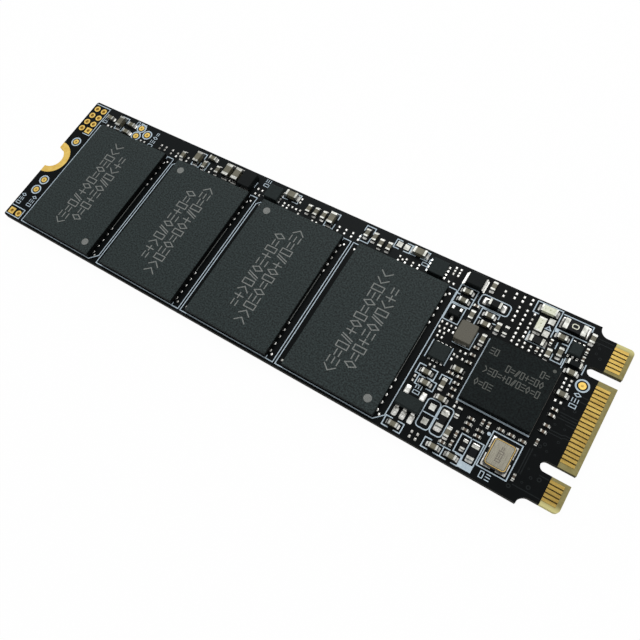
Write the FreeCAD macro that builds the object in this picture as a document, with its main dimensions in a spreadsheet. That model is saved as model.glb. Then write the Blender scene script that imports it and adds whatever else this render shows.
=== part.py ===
import FreeCAD, Part
import math
import os

import Sketcher

# Gumstick solid state drive: a keyed edge-connector card with four flash memory packages, a controller
# and the small parts that feed them. +X runs from the screw notch to the connector, +Y to the edge
# behind the memories, +Z up from the underside, with the origin at the middle of the underside.
# All lengths are in millimetres.

PIN_COUNT = 75
MIDDLE_PIN = 38
KEYED_PINS = (range(12, 20), range(59, 67))
MEMORY_COUNT = 4
HEADER_ROWS = 4
HEADER_COLUMNS = 2
SMALL_ROUND_SIDES = 16
BALL_SIDES = 8
ROUND_LIMIT = 0.95

SIZES = {
    # Card and zones along its length
    "board_thickness": 0.8,
    "first_memory_place": 10.25,
    "memory_pitch": 14.35,
    "regulator_column": 8.7,
    "inductor_column": 2.6,
    "controller_column": 5.65,
    "shoulder_column": 5.75,
    "mount_corner_radius": 0.3,
    # Zones across the card
    "edge_margin": 0.5,
    "strip_width": 3.5,
    # Keyed tongue and its contacts
    "tongue_length": 4.0,
    "tongue_side_margin": 0.5,
    "tongue_corner_radius": 0.5,
    "shoulder_radius": 1.0,
    "key_width": 1.2,
    "key_depth": 3.5,
    "contact_pitch": 0.5,
    "contact_width": 0.35,
    "contact_length": 1.5,
    "contact_end_margin": 0.5,
    "foil_thickness": 0.04,
    # Screw notch, header holes and test pads
    "notch_radius": 1.75,
    "notch_plating": 0.05,
    "notch_land": 1.0,
    "header_pitch": 1.27,
    "header_end_margin": 0.78,
    "header_side_margin": 1.12,
    "header_hole_radius": 0.25,
    "header_land_radius": 0.48,
    "jumper_place": 10.0,
    "test_pad_radius": 0.42,
    "pad_thickness": 0.03,
    # Memory packages
    "memory_width": 12.0,
    "memory_length": 18.0,
    "memory_body": 0.78,
    "ball_height": 0.22,
    "ball_radius": 0.24,
    "ball_pitch": 1.0,
    "ball_edge": 1.0,
    "package_chamfer": 0.06,
    "dot_radius": 0.52,
    "dot_depth": 0.03,
    "dot_edge": 1.38,
    # Controller
    "controller_size": 8.0,
    "controller_body": 0.75,
    "controller_dot_radius": 0.22,
    "controller_dot_edge": 0.6,
    # Crystal
    "crystal_width": 2.5,
    "crystal_length": 3.2,
    "crystal_base_height": 0.45,
    "crystal_corner_notch": 0.22,
    "crystal_lid_rim": 0.18,
    "crystal_lid_height": 0.2,
    "crystal_lid_radius": 0.3,
    "crystal_lid_edge": 0.08,
    "crystal_pad_width": 1.1,
    "crystal_pad_length": 1.4,
    "crystal_pad_proud": 0.12,
    # Power inductors
    "grey_inductor_width": 2.05,
    "grey_inductor_length": 2.5,
    "grey_inductor_height": 1.0,
    "black_inductor_width": 1.95,
    "black_inductor_length": 2.45,
    "black_inductor_height": 1.2,
    "inductor_corner": 0.2,
    "terminal_inset": 0.12,
    "terminal_depth": 0.18,
    "terminal_height": 0.3,
    # Moulded chips with leads
    "rectifier_length": 2.0,
    "rectifier_width": 1.7,
    "rectifier_height": 0.98,
    "regulator_length": 2.8,
    "regulator_width": 1.5,
    "regulator_height": 1.0,
    "regulator_lead_pitch": 0.95,
    "transistor_length": 1.3,
    "transistor_width": 0.8,
    "transistor_height": 0.6,
    "transistor_lead_pitch": 0.5,
    "logic_width": 1.25,
    "logic_length": 1.55,
    "logic_height": 0.55,
    "logic_lead_pitch": 0.5,
    "moulding_standoff": 0.06,
    "moulding_chamfer": 0.1,
    # Gull leads: tabs on the rectifier, big leads on the regulator, small ones on the rest
    "big_lead_thickness": 0.14,
    "big_lead_rise": 0.38,
    "big_lead_knee": 0.12,
    "big_lead_reach": 0.6,
    "tab_thickness": 0.12,
    "tab_rise": 0.38,
    "tab_knee": 0.06,
    "tab_reach": 0.38,
    "tab_width": 1.6,
    "regulator_lead_width": 0.4,
    "small_lead_thickness": 0.09,
    "small_lead_rise": 0.16,
    "small_lead_knee": 0.06,
    "small_lead_reach": 0.28,
    "small_lead_width": 0.22,
    # Leadless power chips
    "leadless_size": 2.0,
    "leadless_height": 0.6,
    "leadless_pad_pitch": 0.5,
    "leadless_pad_width": 0.26,
    "leadless_pad_inside": 0.2,
    "leadless_pad_outside": 0.25,
    # Two-ended chips: length, width, height and metal end of each kind
    "large_capacitor_length": 1.8,
    "large_capacitor_width": 0.95,
    "large_capacitor_height": 0.9,
    "large_capacitor_end": 0.38,
    "medium_capacitor_length": 1.6,
    "medium_capacitor_width": 0.8,
    "medium_capacitor_height": 0.8,
    "medium_capacitor_end": 0.28,
    "small_capacitor_length": 1.05,
    "small_capacitor_width": 0.55,
    "small_capacitor_height": 0.5,
    "small_capacitor_end": 0.22,
    "tiny_passive_length": 0.6,
    "tiny_passive_width": 0.3,
    "tiny_passive_height": 0.3,
    "tiny_passive_end": 0.15,
    "medium_resistor_length": 1.6,
    "medium_resistor_width": 0.8,
    "medium_resistor_height": 0.45,
    "medium_resistor_end": 0.3,
    "small_resistor_length": 1.0,
    "small_resistor_width": 0.5,
    "small_resistor_height": 0.35,
    "small_resistor_end": 0.2,
    "indicator_led_length": 1.8,
    "indicator_led_width": 0.85,
    "indicator_led_height": 0.55,
    "indicator_led_end": 0.2,
    "zero_ohm_link_length": 2.5,
    "zero_ohm_link_width": 1.3,
    "zero_ohm_link_height": 0.55,
    "zero_ohm_link_end": 0.5,
    "ferrite_bead_length": 1.45,
    "ferrite_bead_width": 0.75,
    "ferrite_bead_height": 0.9,
    "ferrite_bead_end": 0.26,
    "clamp_diode_length": 1.5,
    "clamp_diode_width": 0.6,
    "clamp_diode_height": 0.5,
    "clamp_diode_end": 0.2,
    "end_metal": 0.02,
    # Bare solder pads of unfilled places
    "bare_pad_width": 0.68,
    "bare_pad_length": 0.72,
}

# Where each part sits: column, line across that it is measured from, distance along X from the column,
# and distance from that line, inwards from the "far" edge or towards +Y from the "mid" line. The strip's
# parts keep to the far edge, the control parts to the middle. Two-ended chips add their long axis.
OUTER_LED_PLACE = 10.0
CHIP_PLACES = {
    "large_capacitor": (
        ("memory_2", "far", 1.2, 1.75, "y"),
        ("memory_2", "far", 2.72, 1.75, "y"),
    ),
    "medium_capacitor": (
        ("memory_1", "far", -4.05, 1.7, "y"),
        ("memory_2", "far", -3.95, 1.75, "y"),
        ("memory_2", "far", 11.15, 1.1, "x"),
        ("memory_3", "far", 3.3, 1.8, "y"),
        ("memory_4", "far", 0.95, 1.05, "x"),
    ),
    "small_capacitor": (
        ("memory_1", "far", -6.2, 1.65, "x"),
        ("memory_1", "far", -2.35, 1.3, "x"),
        ("memory_1", "far", -2.35, 2.65, "x"),
        ("memory_2", "far", -6.3, 2.3, "y"),
        ("memory_2", "far", -2.05, 0.85, "x"),
        ("memory_2", "far", -2.55, 2.3, "y"),
        ("memory_2", "far", -0.35, 2.2, "y"),
        ("memory_3", "far", -0.15, 1.8, "y"),
        ("memory_3", "far", 0.95, 1.8, "y"),
        ("memory_3", "far", 2.1, 1.8, "y"),
        ("memory_4", "far", -6.05, 1.55, "y"),
        ("memory_4", "far", -4.94, 1.6, "y"),
        ("memory_4", "far", -3.85, 2.05, "y"),
        ("memory_4", "far", -2.75, 2.0, "y"),
        ("regulator", "mid", -0.55, 7.95, "x"),
        ("regulator", "mid", -0.5, 6.72, "x"),
        ("regulator", "mid", -0.09, -3.06, "x"),
        ("regulator", "mid", 0.36, -4.25, "x"),
        ("regulator", "mid", -0.43, -10.1, "x"),
        ("inductor", "mid", -0.83, 9.92, "y"),
        ("inductor", "mid", -1.45, 5.5, "y"),
        ("inductor", "mid", 0.3, 6.35, "x"),
        ("inductor", "mid", 0.32, 5.18, "x"),
        ("inductor", "mid", 0.9, 3.4, "y"),
        ("inductor", "mid", 0.14, -1.15, "x"),
        ("inductor", "mid", -0.5, -3.41, "y"),
        ("inductor", "mid", 0.1, -5.0, "x"),
        ("inductor", "mid", 2.4, -8.02, "y"),
        ("inductor", "mid", 1.78, -10.1, "x"),
        ("controller", "mid", -1.79, -10.1, "x"),
        ("controller", "mid", -3.92, 5.43, "y"),
        ("controller", "mid", 2.53, 7.72, "x"),
        ("controller", "mid", 3.03, 5.92, "y"),
        ("controller", "mid", 1.99, 5.23, "y"),
        ("controller", "mid", 5.39, 9.05, "y"),
        ("controller", "mid", 4.95, 4.38, "x"),
        ("controller", "mid", 5.06, 1.7, "x"),
    ),
    "tiny_passive": (
        ("inductor", "mid", -1.5, 6.8, "x"),
        ("inductor", "mid", 0.75, 2.15, "x"),
        ("inductor", "mid", 0.8, 1.2, "x"),
        ("inductor", "mid", 0.8, 0.2, "x"),
        ("inductor", "mid", 0.75, -1.85, "x"),
        ("inductor", "mid", -0.35, -1.85, "x"),
        ("inductor", "mid", 0.75, -2.65, "x"),
        ("inductor", "mid", 0.75, -3.4, "x"),
        ("inductor", "mid", 0.8, -4.2, "x"),
        ("inductor", "mid", 2.4, -9.2, "x"),
        ("inductor", "mid", 3.25, -7.65, "y"),
        ("inductor", "mid", 3.25, -8.8, "y"),
        ("controller", "mid", -1.8, -5.4, "x"),
        ("controller", "mid", -1.8, -6.05, "x"),
        ("controller", "mid", -1.8, -6.8, "x"),
        ("controller", "mid", -0.6, -5.1, "y"),
        ("controller", "mid", 0.05, -5.1, "y"),
        ("controller", "mid", -0.45, -6.15, "x"),
        ("controller", "mid", -0.42, -6.8, "x"),
        ("controller", "mid", 1.35, -4.95, "x"),
        ("controller", "mid", 2.5, -4.95, "x"),
        ("controller", "mid", 3.75, -4.95, "x"),
        ("controller", "mid", 4.53, -8.75, "y"),
        ("controller", "mid", 5.0, -4.25, "y"),
        ("controller", "mid", 5.1, -0.2, "x"),
        ("controller", "mid", 5.1, -0.95, "x"),
        ("controller", "mid", 5.1, -2.2, "x"),
        ("controller", "mid", 5.05, -2.95, "x"),
        ("controller", "mid", 1.75, 6.7, "y"),
        ("controller", "mid", 0.8, 5.1, "y"),
        ("controller", "mid", 5.42, 7.5, "y"),
        ("controller", "mid", 5.42, 6.42, "y"),
    ),
    "medium_resistor": (
        ("inductor", "mid", 1.3, -7.1, "y"),
        ("controller", "mid", -0.05, -8.65, "y"),
        ("controller", "mid", 0.35, 6.1, "x"),
    ),
    "small_resistor": (
        ("inductor", "mid", 2.38, -5.4, "y"),
        ("controller", "mid", -1.2, -8.35, "y"),
        ("controller", "mid", -3.01, 5.55, "y"),
    ),
    "indicator_led": (
        ("controller", "mid", 0.05, OUTER_LED_PLACE, "x"),
        ("controller", "mid", -0.1, 7.96, "y"),
    ),
    "zero_ohm_link": (("controller", "mid", 3.25, 9.4, "x"),),
    "ferrite_bead": (("inductor", "mid", 0.28, 7.78, "x"),),
    "clamp_diode": (("controller", "mid", 4.85, 5.45, "x"),),
}

BARE_PAD_PLACES = (
    ("memory_4", "far", -1.82, 0.95),
    ("memory_4", "far", -0.85, 0.95),
    ("controller", "mid", 0.85, 9.0),
    ("controller", "mid", 0.85, 7.35),
    ("inductor", "mid", -0.25, -6.25),
    ("inductor", "mid", -0.25, -8.05),
)

TEST_PAD_PLACES = (
    ("mount", "mid", 1.7, 3.65),
    ("mount", "mid", 1.7, -3.82),
    ("mount", "mid", 1.7, -5.63),
    ("memory_1", "far", -0.75, 1.05),
    ("memory_1", "far", -0.75, 2.5),
    ("memory_1", "far", 0.78, 1.66),
    ("shoulder", "mid", 0.77, 3.66),
)

PART_PLACES = {
    "crystal": ("controller", "mid", 2.41, -7.5),
    "grey_inductor": ("inductor", "mid", -1.0, 3.05),
    "black_inductor": ("memory_2", "far", 4.68, 1.86),
    "rectifier": ("regulator", "mid", -0.28, 9.5),
    "regulator": ("regulator", "mid", 0.0, -7.24),
    "transistor": ("regulator", "mid", -0.65, 4.78),
    "logic": ("controller", "mid", 4.36, 7.03),
}

# The leadless chips, with the axis that their rows of pads face
LEADLESS_PLACES = (
    ("memory_2", "far", 8.75, 1.85, "x"),
    ("memory_4", "far", 3.8, 1.85, "x"),
    ("regulator", "mid", 0.1, -0.27, "y"),
)

# Memory packages 1 and 4 lie with their first pin at the connector and near edges, 2 and 3 turned round.
DOT_SIGNS = {1: (1, -1), 2: (-1, 1), 3: (-1, 1), 4: (1, -1)}

doc = FreeCAD.newDocument("solid_state_drive")
sheet = doc.addObject("Spreadsheet::Sheet", "Sizes")
for row, (alias, value) in enumerate(SIZES.items(), start=1):
    sheet.set(f"A{row}", alias)
    sheet.set(f"B{row}", str(value))
    sheet.setAlias(f"B{row}", alias)
doc.recompute()
nodes = []


def size(alias):
    """The expression that reads one driving size."""
    return f"Sizes.{alias}"


def now(expression):
    """The present value of an expression."""
    return float(sheet.evalExpression(expression))


# Derived places, as expressions of the driving sizes
BOARD_LENGTH = (
    f"(Sizes.first_memory_place + {MEMORY_COUNT - 1} * Sizes.memory_pitch + Sizes.regulator_column"
    " + Sizes.inductor_column + Sizes.controller_column + Sizes.shoulder_column + Sizes.tongue_length)"
)
MEMORY_ZONE = "(Sizes.edge_margin + Sizes.memory_length + Sizes.strip_width)"
CONTROL_ZONE = f"(2 * ({OUTER_LED_PLACE} + Sizes.indicator_led_width / 2 + Sizes.edge_margin))"
BOARD_WIDTH = f"max({MEMORY_ZONE}; {CONTROL_ZONE})"
TONGUE_WIDTH = (
    f"({PIN_COUNT - 1} * Sizes.contact_pitch / 2 + Sizes.contact_width + 2 * Sizes.tongue_side_margin)"
)
MOUNT_END = f"(-{BOARD_LENGTH} / 2)"
CONNECTOR_END = f"({BOARD_LENGTH} / 2)"
SHOULDER = f"({CONNECTOR_END} - Sizes.tongue_length)"
CONTROLLER_COLUMN = f"({SHOULDER} - Sizes.shoulder_column)"
INDUCTOR_COLUMN = f"({CONTROLLER_COLUMN} - Sizes.controller_column)"
REGULATOR_COLUMN = f"({INDUCTOR_COLUMN} - Sizes.inductor_column)"
FAR_EDGE = f"({BOARD_WIDTH} / 2)"
NEAR_EDGE = f"(-{BOARD_WIDTH} / 2)"
TOP = "Sizes.board_thickness"
MEMORY_Y = f"({NEAR_EDGE} + Sizes.edge_margin + Sizes.memory_length / 2)"


def memory_x(number):
    """Centre of one memory package, counted from the mount end."""
    return f"({MOUNT_END} + Sizes.first_memory_place + {number - 1} * Sizes.memory_pitch)"


COLUMNS = {
    "mount": MOUNT_END,
    "regulator": REGULATOR_COLUMN,
    "inductor": INDUCTOR_COLUMN,
    "controller": CONTROLLER_COLUMN,
    "shoulder": SHOULDER,
}
COLUMNS.update({f"memory_{n}": memory_x(n) for n in range(1, MEMORY_COUNT + 1)})


def place(column, edge, along, across):
    """X and Y expressions of a place on the card."""
    rows = {"far": f"({FAR_EDGE} - {across})", "mid": f"({across})"}
    return f"({COLUMNS[column]} + {along})", rows[edge]


def bind(thing, expressions):
    """Tie properties of a document object to expressions."""
    for path, expression in expressions.items():
        thing.setExpression(path, expression)


def base(x, y, z):
    """Expressions for where an object is put."""
    return {"Placement.Base.x": x, "Placement.Base.y": y, "Placement.Base.z": z}


def block(name, length, width, height, low):
    """A plain block from its low corner."""
    box = doc.addObject("Part::Box", name)
    bind(box, {"Length": length, "Width": width, "Height": height, **base(*low)})
    return box


def short_column(name, sides, radius, height, low):
    """A small round piece, drawn with flat sides, standing on the centre of its lower face."""
    prism = doc.addObject("Part::Prism", name)
    prism.Polygon = sides
    bind(prism, {"Circumradius": radius, "Height": height, **base(*low)})
    return prism


def disc(name, radius, height, low):
    """A small round of the card: a test pad, a header hole or its plating."""
    return short_column(name, SMALL_ROUND_SIDES, radius, height, low)


def gather(label, pieces):
    """Like pieces, as separate solids of one sub-part."""
    group = doc.addObject("Part::Compound", label)
    group.Links = pieces
    group.Label = label
    nodes.append(group)
    return group


def new_body(label):
    """An empty body that becomes a sub-part."""
    body = doc.addObject("PartDesign::Body", label)
    body.Label = label
    return body


def new_sketch(body, name, plane, offset=None):
    """A sketch on one of the body's own planes, moved along that plane's axes by expressions."""
    sketch = body.newObject("Sketcher::SketchObject", name)
    support = [f for f in body.Origin.OriginFeatures if f.Role == plane][0]
    sketch.AttachmentSupport = (support, [""])
    sketch.MapMode = "FlatFace"
    for axis, expression in (offset or {}).items():
        sketch.setExpression(f"AttachmentOffset.Base.{axis}", expression)
    return sketch


def pin_point(sketch, geometry, point, x, y):
    """Dimension a sketch point from the sketch's origin."""
    for kind, expression in (("DistanceX", x), ("DistanceY", y)):
        index = sketch.addConstraint(
            Sketcher.Constraint(kind, -1, 1, geometry, point, now(expression))
        )
        sketch.setExpression(f"Constraints[{index}]", expression)


def draw_polygon(sketch, corners):
    """A closed outline through corners given as pairs of expressions."""
    points = [FreeCAD.Vector(now(x), now(y), 0) for x, y in corners]
    count = len(points)
    first = sketch.GeometryCount
    for index, point in enumerate(points):
        sketch.addGeometry(Part.LineSegment(point, points[(index + 1) % count]))
    for index, (x, y) in enumerate(corners):
        following = first + (index + 1) % count
        sketch.addConstraint(Sketcher.Constraint("Coincident", first + index, 2, following, 1))
        pin_point(sketch, first + index, 1, x, y)


def draw_rectangle(sketch, x_low, x_high, y_low, y_high):
    """A rectangle between four expressions."""
    draw_polygon(sketch, [(x_low, y_low), (x_high, y_low), (x_high, y_high), (x_low, y_high)])


def draw_circle(sketch, x, y, radius):
    """A circle with its centre and radius given as expressions."""
    centre = FreeCAD.Vector(now(x), now(y), 0)
    circle = sketch.addGeometry(Part.Circle(centre, FreeCAD.Vector(0, 0, 1), now(radius)))
    index = sketch.addConstraint(Sketcher.Constraint("Radius", circle, now(radius)))
    sketch.setExpression(f"Constraints[{index}]", radius)
    pin_point(sketch, circle, 3, x, y)


def draw_small_round(sketch, x, y, radius):
    """A small round outline, drawn with flat sides."""
    corners = []
    for step in range(SMALL_ROUND_SIDES):
        turn = 2 * math.pi * step / SMALL_ROUND_SIDES
        corners.append((f"{x} + {math.cos(turn):.6f} * {radius}", f"{y} + {math.sin(turn):.6f} * {radius}"))
    draw_polygon(sketch, corners)


def pad(body, sketch, height):
    """Raise a sketch by an expression's height."""
    feature = body.newObject("PartDesign::Pad", f"{sketch.Name}_pad")
    feature.Profile = sketch
    feature.setExpression("Length", height)
    sketch.Visibility = False
    doc.recompute()
    return feature


def pocket(body, sketch, depth, upwards):
    """Cut a sketch into the body, up or down from its plane, and make sure that it cuts."""
    before = body.Shape.Volume
    feature = body.newObject("PartDesign::Pocket", f"{sketch.Name}_pocket")
    feature.Profile = sketch
    feature.Reversed = upwards
    feature.setExpression("Length", depth)
    doc.recompute()
    if not body.Shape.Volume < before:
        raise RuntimeError(f"{feature.Name} cuts nothing")
    return feature


def upright_edges(shape, spots):
    """Names of the vertical edges at given places."""
    names = []
    for index, edge in enumerate(shape.Edges, start=1):
        start = edge.Vertexes[0].Point
        end = edge.Vertexes[-1].Point
        if abs(start.x - end.x) + abs(start.y - end.y) > 1e-6 or abs(start.z - end.z) < 1e-6:
            continue
        if any(abs(start.x - x) + abs(start.y - y) < 1e-4 for x, y in spots):
            names.append(f"Edge{index}")
    return names


def top_face(shape):
    """Name of the highest level face."""
    heights = [(face.CenterOfMass.z, index) for index, face in enumerate(shape.Faces, start=1)]
    return f"Face{max(heights)[1]}"


def round_edges(body, feature, spots, radius):
    """Round the upright edges at given places."""
    rounding = body.newObject("PartDesign::Fillet", f"{body.Name}_round")
    rounding.Base = (feature, upright_edges(feature.Shape, spots))
    rounding.setExpression("Radius", radius)
    doc.recompute()
    return rounding


def break_top_edge(body, feature, amount):
    """Chamfer all round the top face."""
    chamfer = body.newObject("PartDesign::Chamfer", f"{body.Name}_chamfer")
    chamfer.Base = (feature, [top_face(feature.Shape)])
    chamfer.setExpression("Size", amount)
    doc.recompute()
    return chamfer


def rectangle_spots(length, width):
    """Corners of a centred rectangle, as they are now."""
    half_length = now(length) / 2
    half_width = now(width) / 2
    return [(sx * half_length, sy * half_width) for sx in (-1, 1) for sy in (-1, 1)]


def moulding(label, length, width, height, low, chamfer=None, corner=None, dot=None):
    """A moulded package centred over its place, with a broken top edge, round corners or a pin dot."""
    body = new_body(label)
    outline = new_sketch(body, f"{label}_outline", "XY_Plane")
    draw_rectangle(outline, f"-{length} / 2", f"{length} / 2", f"-{width} / 2", f"{width} / 2")
    feature = pad(body, outline, height)
    if corner:
        feature = round_edges(body, feature, rectangle_spots(length, width), corner)
    if chamfer:
        feature = break_top_edge(body, feature, chamfer)
    if dot:
        dot_x, dot_y, dot_radius = dot
        mark = new_sketch(body, f"{label}_dot", "XY_Plane", {"z": height})
        draw_small_round(mark, dot_x, dot_y, dot_radius)
        feature = pocket(body, mark, size("dot_depth"), False)
    body.Tip = feature
    bind(body, base(*low))
    nodes.append(body)
    return body


def pin_y(pin):
    """Place of a contact across the tongue."""
    return f"({MIDDLE_PIN - pin} * Sizes.contact_pitch / 2)"


def contact_pins(first):
    """Every second pin from the first one, without those that the keys take."""
    return [p for p in range(first, PIN_COUNT + 1, 2) if not any(p in keyed for keyed in KEYED_PINS)]


def build_circuit_board():
    """The laminate card: outline, keys, screw notch, header holes and bare zones for the foil."""
    body = new_body("card")
    outline = new_sketch(body, "card_outline", "XY_Plane")
    half_tongue = f"({TONGUE_WIDTH} / 2)"
    draw_polygon(
        outline,
        [
            (MOUNT_END, NEAR_EDGE),
            (SHOULDER, NEAR_EDGE),
            (SHOULDER, f"-{half_tongue}"),
            (CONNECTOR_END, f"-{half_tongue}"),
            (CONNECTOR_END, half_tongue),
            (SHOULDER, half_tongue),
            (SHOULDER, FAR_EDGE),
            (MOUNT_END, FAR_EDGE),
        ],
    )
    card = pad(body, outline, TOP)
    sides = (-1, 1)
    tongue = now(half_tongue)
    step = f"({FAR_EDGE} - {half_tongue})"
    inner_round = f"min(Sizes.shoulder_radius; {ROUND_LIMIT} * {step})"
    card = round_edges(body, card, [(now(SHOULDER), s * tongue) for s in sides], inner_round)
    ends = [(now(CONNECTOR_END), s * tongue) for s in sides]
    card = round_edges(body, card, ends, size("tongue_corner_radius"))
    mount_corners = [(now(MOUNT_END), s * now(FAR_EDGE)) for s in sides]
    card = round_edges(body, card, mount_corners, size("mount_corner_radius"))

    key_centre = f"({CONNECTOR_END} - Sizes.key_depth + Sizes.key_width / 2)"
    slots = new_sketch(body, "key_slots", "XY_Plane")
    rounds = new_sketch(body, "key_rounds", "XY_Plane")
    for keyed in KEYED_PINS:
        pin = (keyed[0] + keyed[-1]) / 2
        low = f"({pin_y(pin)} - Sizes.key_width / 2)"
        high = f"({pin_y(pin)} + Sizes.key_width / 2)"
        draw_rectangle(slots, key_centre, f"({CONNECTOR_END} + Sizes.key_width)", low, high)
        draw_circle(rounds, key_centre, pin_y(pin), "Sizes.key_width / 2")
    pocket(body, slots, TOP, True)
    pocket(body, rounds, TOP, True)

    wall = "(Sizes.notch_radius + Sizes.notch_plating)"
    land = "(Sizes.notch_radius + Sizes.notch_land)"
    for name, radius, depth, level, upwards in (
        ("notch", wall, TOP, "0", True),
        ("notch_upper_land", land, size("foil_thickness"), TOP, False),
        ("notch_lower_land", land, size("foil_thickness"), "0", True),
    ):
        ring = new_sketch(body, name, "XY_Plane", {"z": level})
        draw_circle(ring, MOUNT_END, "0", radius)
        pocket(body, ring, depth, upwards)

    bare_start = f"({CONNECTOR_END} - Sizes.contact_end_margin - Sizes.contact_length)"
    for name, level, upwards in (("upper_bare_zone", TOP, False), ("lower_bare_zone", "0", True)):
        zone = new_sketch(body, name, "XY_Plane", {"z": level})
        past_end = f"({CONNECTOR_END} + Sizes.contact_end_margin)"
        draw_rectangle(zone, bare_start, past_end, NEAR_EDGE, FAR_EDGE)
        pocket(body, zone, size("foil_thickness"), upwards)

    holes = doc.addObject("Part::Compound", "header_holes")
    holes.Links = [
        disc(f"header_hole_{index}", size("header_land_radius"), TOP, (x, y, "0"))
        for index, (x, y) in enumerate(header_places(), start=1)
    ]
    drilled = doc.addObject("Part::Cut", "circuit_board")
    drilled.Base = body
    drilled.Tool = holes
    drilled.Label = "circuit_board"
    nodes.append(drilled)


def header_places():
    """Places of the header block's holes and of the two jumper holes."""
    places = []
    for column in range(HEADER_COLUMNS):
        x = f"({MOUNT_END} + Sizes.header_end_margin + {column} * Sizes.header_pitch)"
        for step in range(HEADER_ROWS):
            places.append((x, f"({FAR_EDGE} - Sizes.header_side_margin - {step} * Sizes.header_pitch)"))
        places.append((x, "-Sizes.jumper_place"))
    return places


def build_contacts(label, pins, level):
    """Gold fingers of one side, on the pin pitch, leaving out the pins at the keys."""
    start = f"({CONNECTOR_END} - Sizes.contact_end_margin - Sizes.contact_length)"
    fingers = []
    sides = (size("contact_length"), size("contact_width"), size("foil_thickness"))
    for pin in pins:
        low = (start, f"({pin_y(pin)} - Sizes.contact_width / 2)", level)
        fingers.append(block(f"pin_{pin}", *sides, low))
    gather(label, fingers)


def build_attachment_ring():
    """Plating of the screw notch: a half-round wall with a land on each face, turned from one profile."""
    body = new_body("attachment_ring")
    profile = new_sketch(body, "ring_profile", "XZ_Plane")
    inner = size("notch_radius")
    wall = "(Sizes.notch_radius + Sizes.notch_plating)"
    land = "(Sizes.notch_radius + Sizes.notch_land)"
    foil = size("foil_thickness")
    under_land = f"({TOP} - {foil})"
    draw_polygon(
        profile,
        [
            (inner, "0"),
            (land, "0"),
            (land, foil),
            (wall, foil),
            (wall, under_land),
            (land, under_land),
            (land, TOP),
            (inner, TOP),
        ],
    )
    turned = body.newObject("PartDesign::Revolution", "ring_turned")
    turned.Profile = profile
    turned.ReferenceAxis = (profile, ["V_Axis"])
    turned.Angle = 180
    turned.Midplane = True
    bind(body, base(MOUNT_END, "0", "0"))
    doc.recompute()
    nodes.append(body)


def build_header_plating():
    """Gold sleeves of the header and jumper holes."""
    sleeves = []
    for index, (x, y) in enumerate(header_places(), start=1):
        sleeve = doc.addObject("Part::Cut", f"header_sleeve_{index}")
        sleeve.Base = disc(f"sleeve_outside_{index}", size("header_land_radius"), TOP, (x, y, "0"))
        sleeve.Tool = disc(f"sleeve_bore_{index}", size("header_hole_radius"), TOP, (x, y, "0"))
        sleeves.append(sleeve)
    gather("header_plating", sleeves)


def build_test_pads():
    """Bare gold discs."""
    pads = []
    for index, spot in enumerate(TEST_PAD_PLACES, start=1):
        x, y = place(*spot)
        pads.append(disc(f"test_pad_{index}", size("test_pad_radius"), size("pad_thickness"), (x, y, TOP)))
    gather("test_pads", pads)


def build_bare_pads():
    """Solder pads of the places that have no part."""
    pads = []
    for index, spot in enumerate(BARE_PAD_PLACES, start=1):
        x, y = place(*spot)
        low = (f"{x} - Sizes.bare_pad_width / 2", f"{y} - Sizes.bare_pad_length / 2", TOP)
        sides = (size("bare_pad_width"), size("bare_pad_length"), size("pad_thickness"))
        pads.append(block(f"bare_pad_{index}", *sides, low))
    gather("bare_solder_pads", pads)


def corner_balls(name, x, y, half_length, half_width):
    """Three solder balls in each corner of a package, pressed to short columns."""
    balls = []
    for sign_x in (-1, 1):
        for sign_y in (-1, 1):
            for step_x, step_y in ((0, 0), (1, 0), (0, 1)):
                along = f"({half_length} - Sizes.ball_edge - {step_x} * Sizes.ball_pitch)"
                across = f"({half_width} - Sizes.ball_edge - {step_y} * Sizes.ball_pitch)"
                low = (f"{x} + {sign_x} * {along}", f"{y} + {sign_y} * {across}", TOP)
                ball = (size("ball_radius"), size("ball_height"), low)
                balls.append(short_column(f"{name}_ball", BALL_SIDES, *ball))
    return balls


def build_memories():
    """Four flash memory packages in a row, on solder balls."""
    seat = f"({TOP} + Sizes.ball_height)"
    balls = []
    for number in range(1, MEMORY_COUNT + 1):
        sign_x, sign_y = DOT_SIGNS[number]
        dot = (
            f"{sign_x} * (Sizes.memory_width / 2 - Sizes.dot_edge)",
            f"{sign_y} * (Sizes.memory_length / 2 - Sizes.dot_edge)",
            size("dot_radius"),
        )
        moulding(
            f"flash_memory_{number}",
            size("memory_width"),
            size("memory_length"),
            size("memory_body"),
            (memory_x(number), MEMORY_Y, seat),
            chamfer=size("package_chamfer"),
            dot=dot,
        )
        halves = ("Sizes.memory_width / 2", "Sizes.memory_length / 2")
        balls += corner_balls(f"memory_{number}", memory_x(number), MEMORY_Y, *halves)
    gather("memory_solder_balls", balls)


def build_controller():
    """The controller package on its solder balls."""
    corner = "(Sizes.controller_size / 2 - Sizes.controller_dot_edge)"
    moulding(
        "controller_chip",
        size("controller_size"),
        size("controller_size"),
        size("controller_body"),
        (CONTROLLER_COLUMN, "0", f"({TOP} + Sizes.ball_height)"),
        chamfer=size("package_chamfer"),
        dot=(corner, corner, size("controller_dot_radius")),
    )
    half = "Sizes.controller_size / 2"
    gather("controller_solder_balls", corner_balls("controller", CONTROLLER_COLUMN, "0", half, half))


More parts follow.
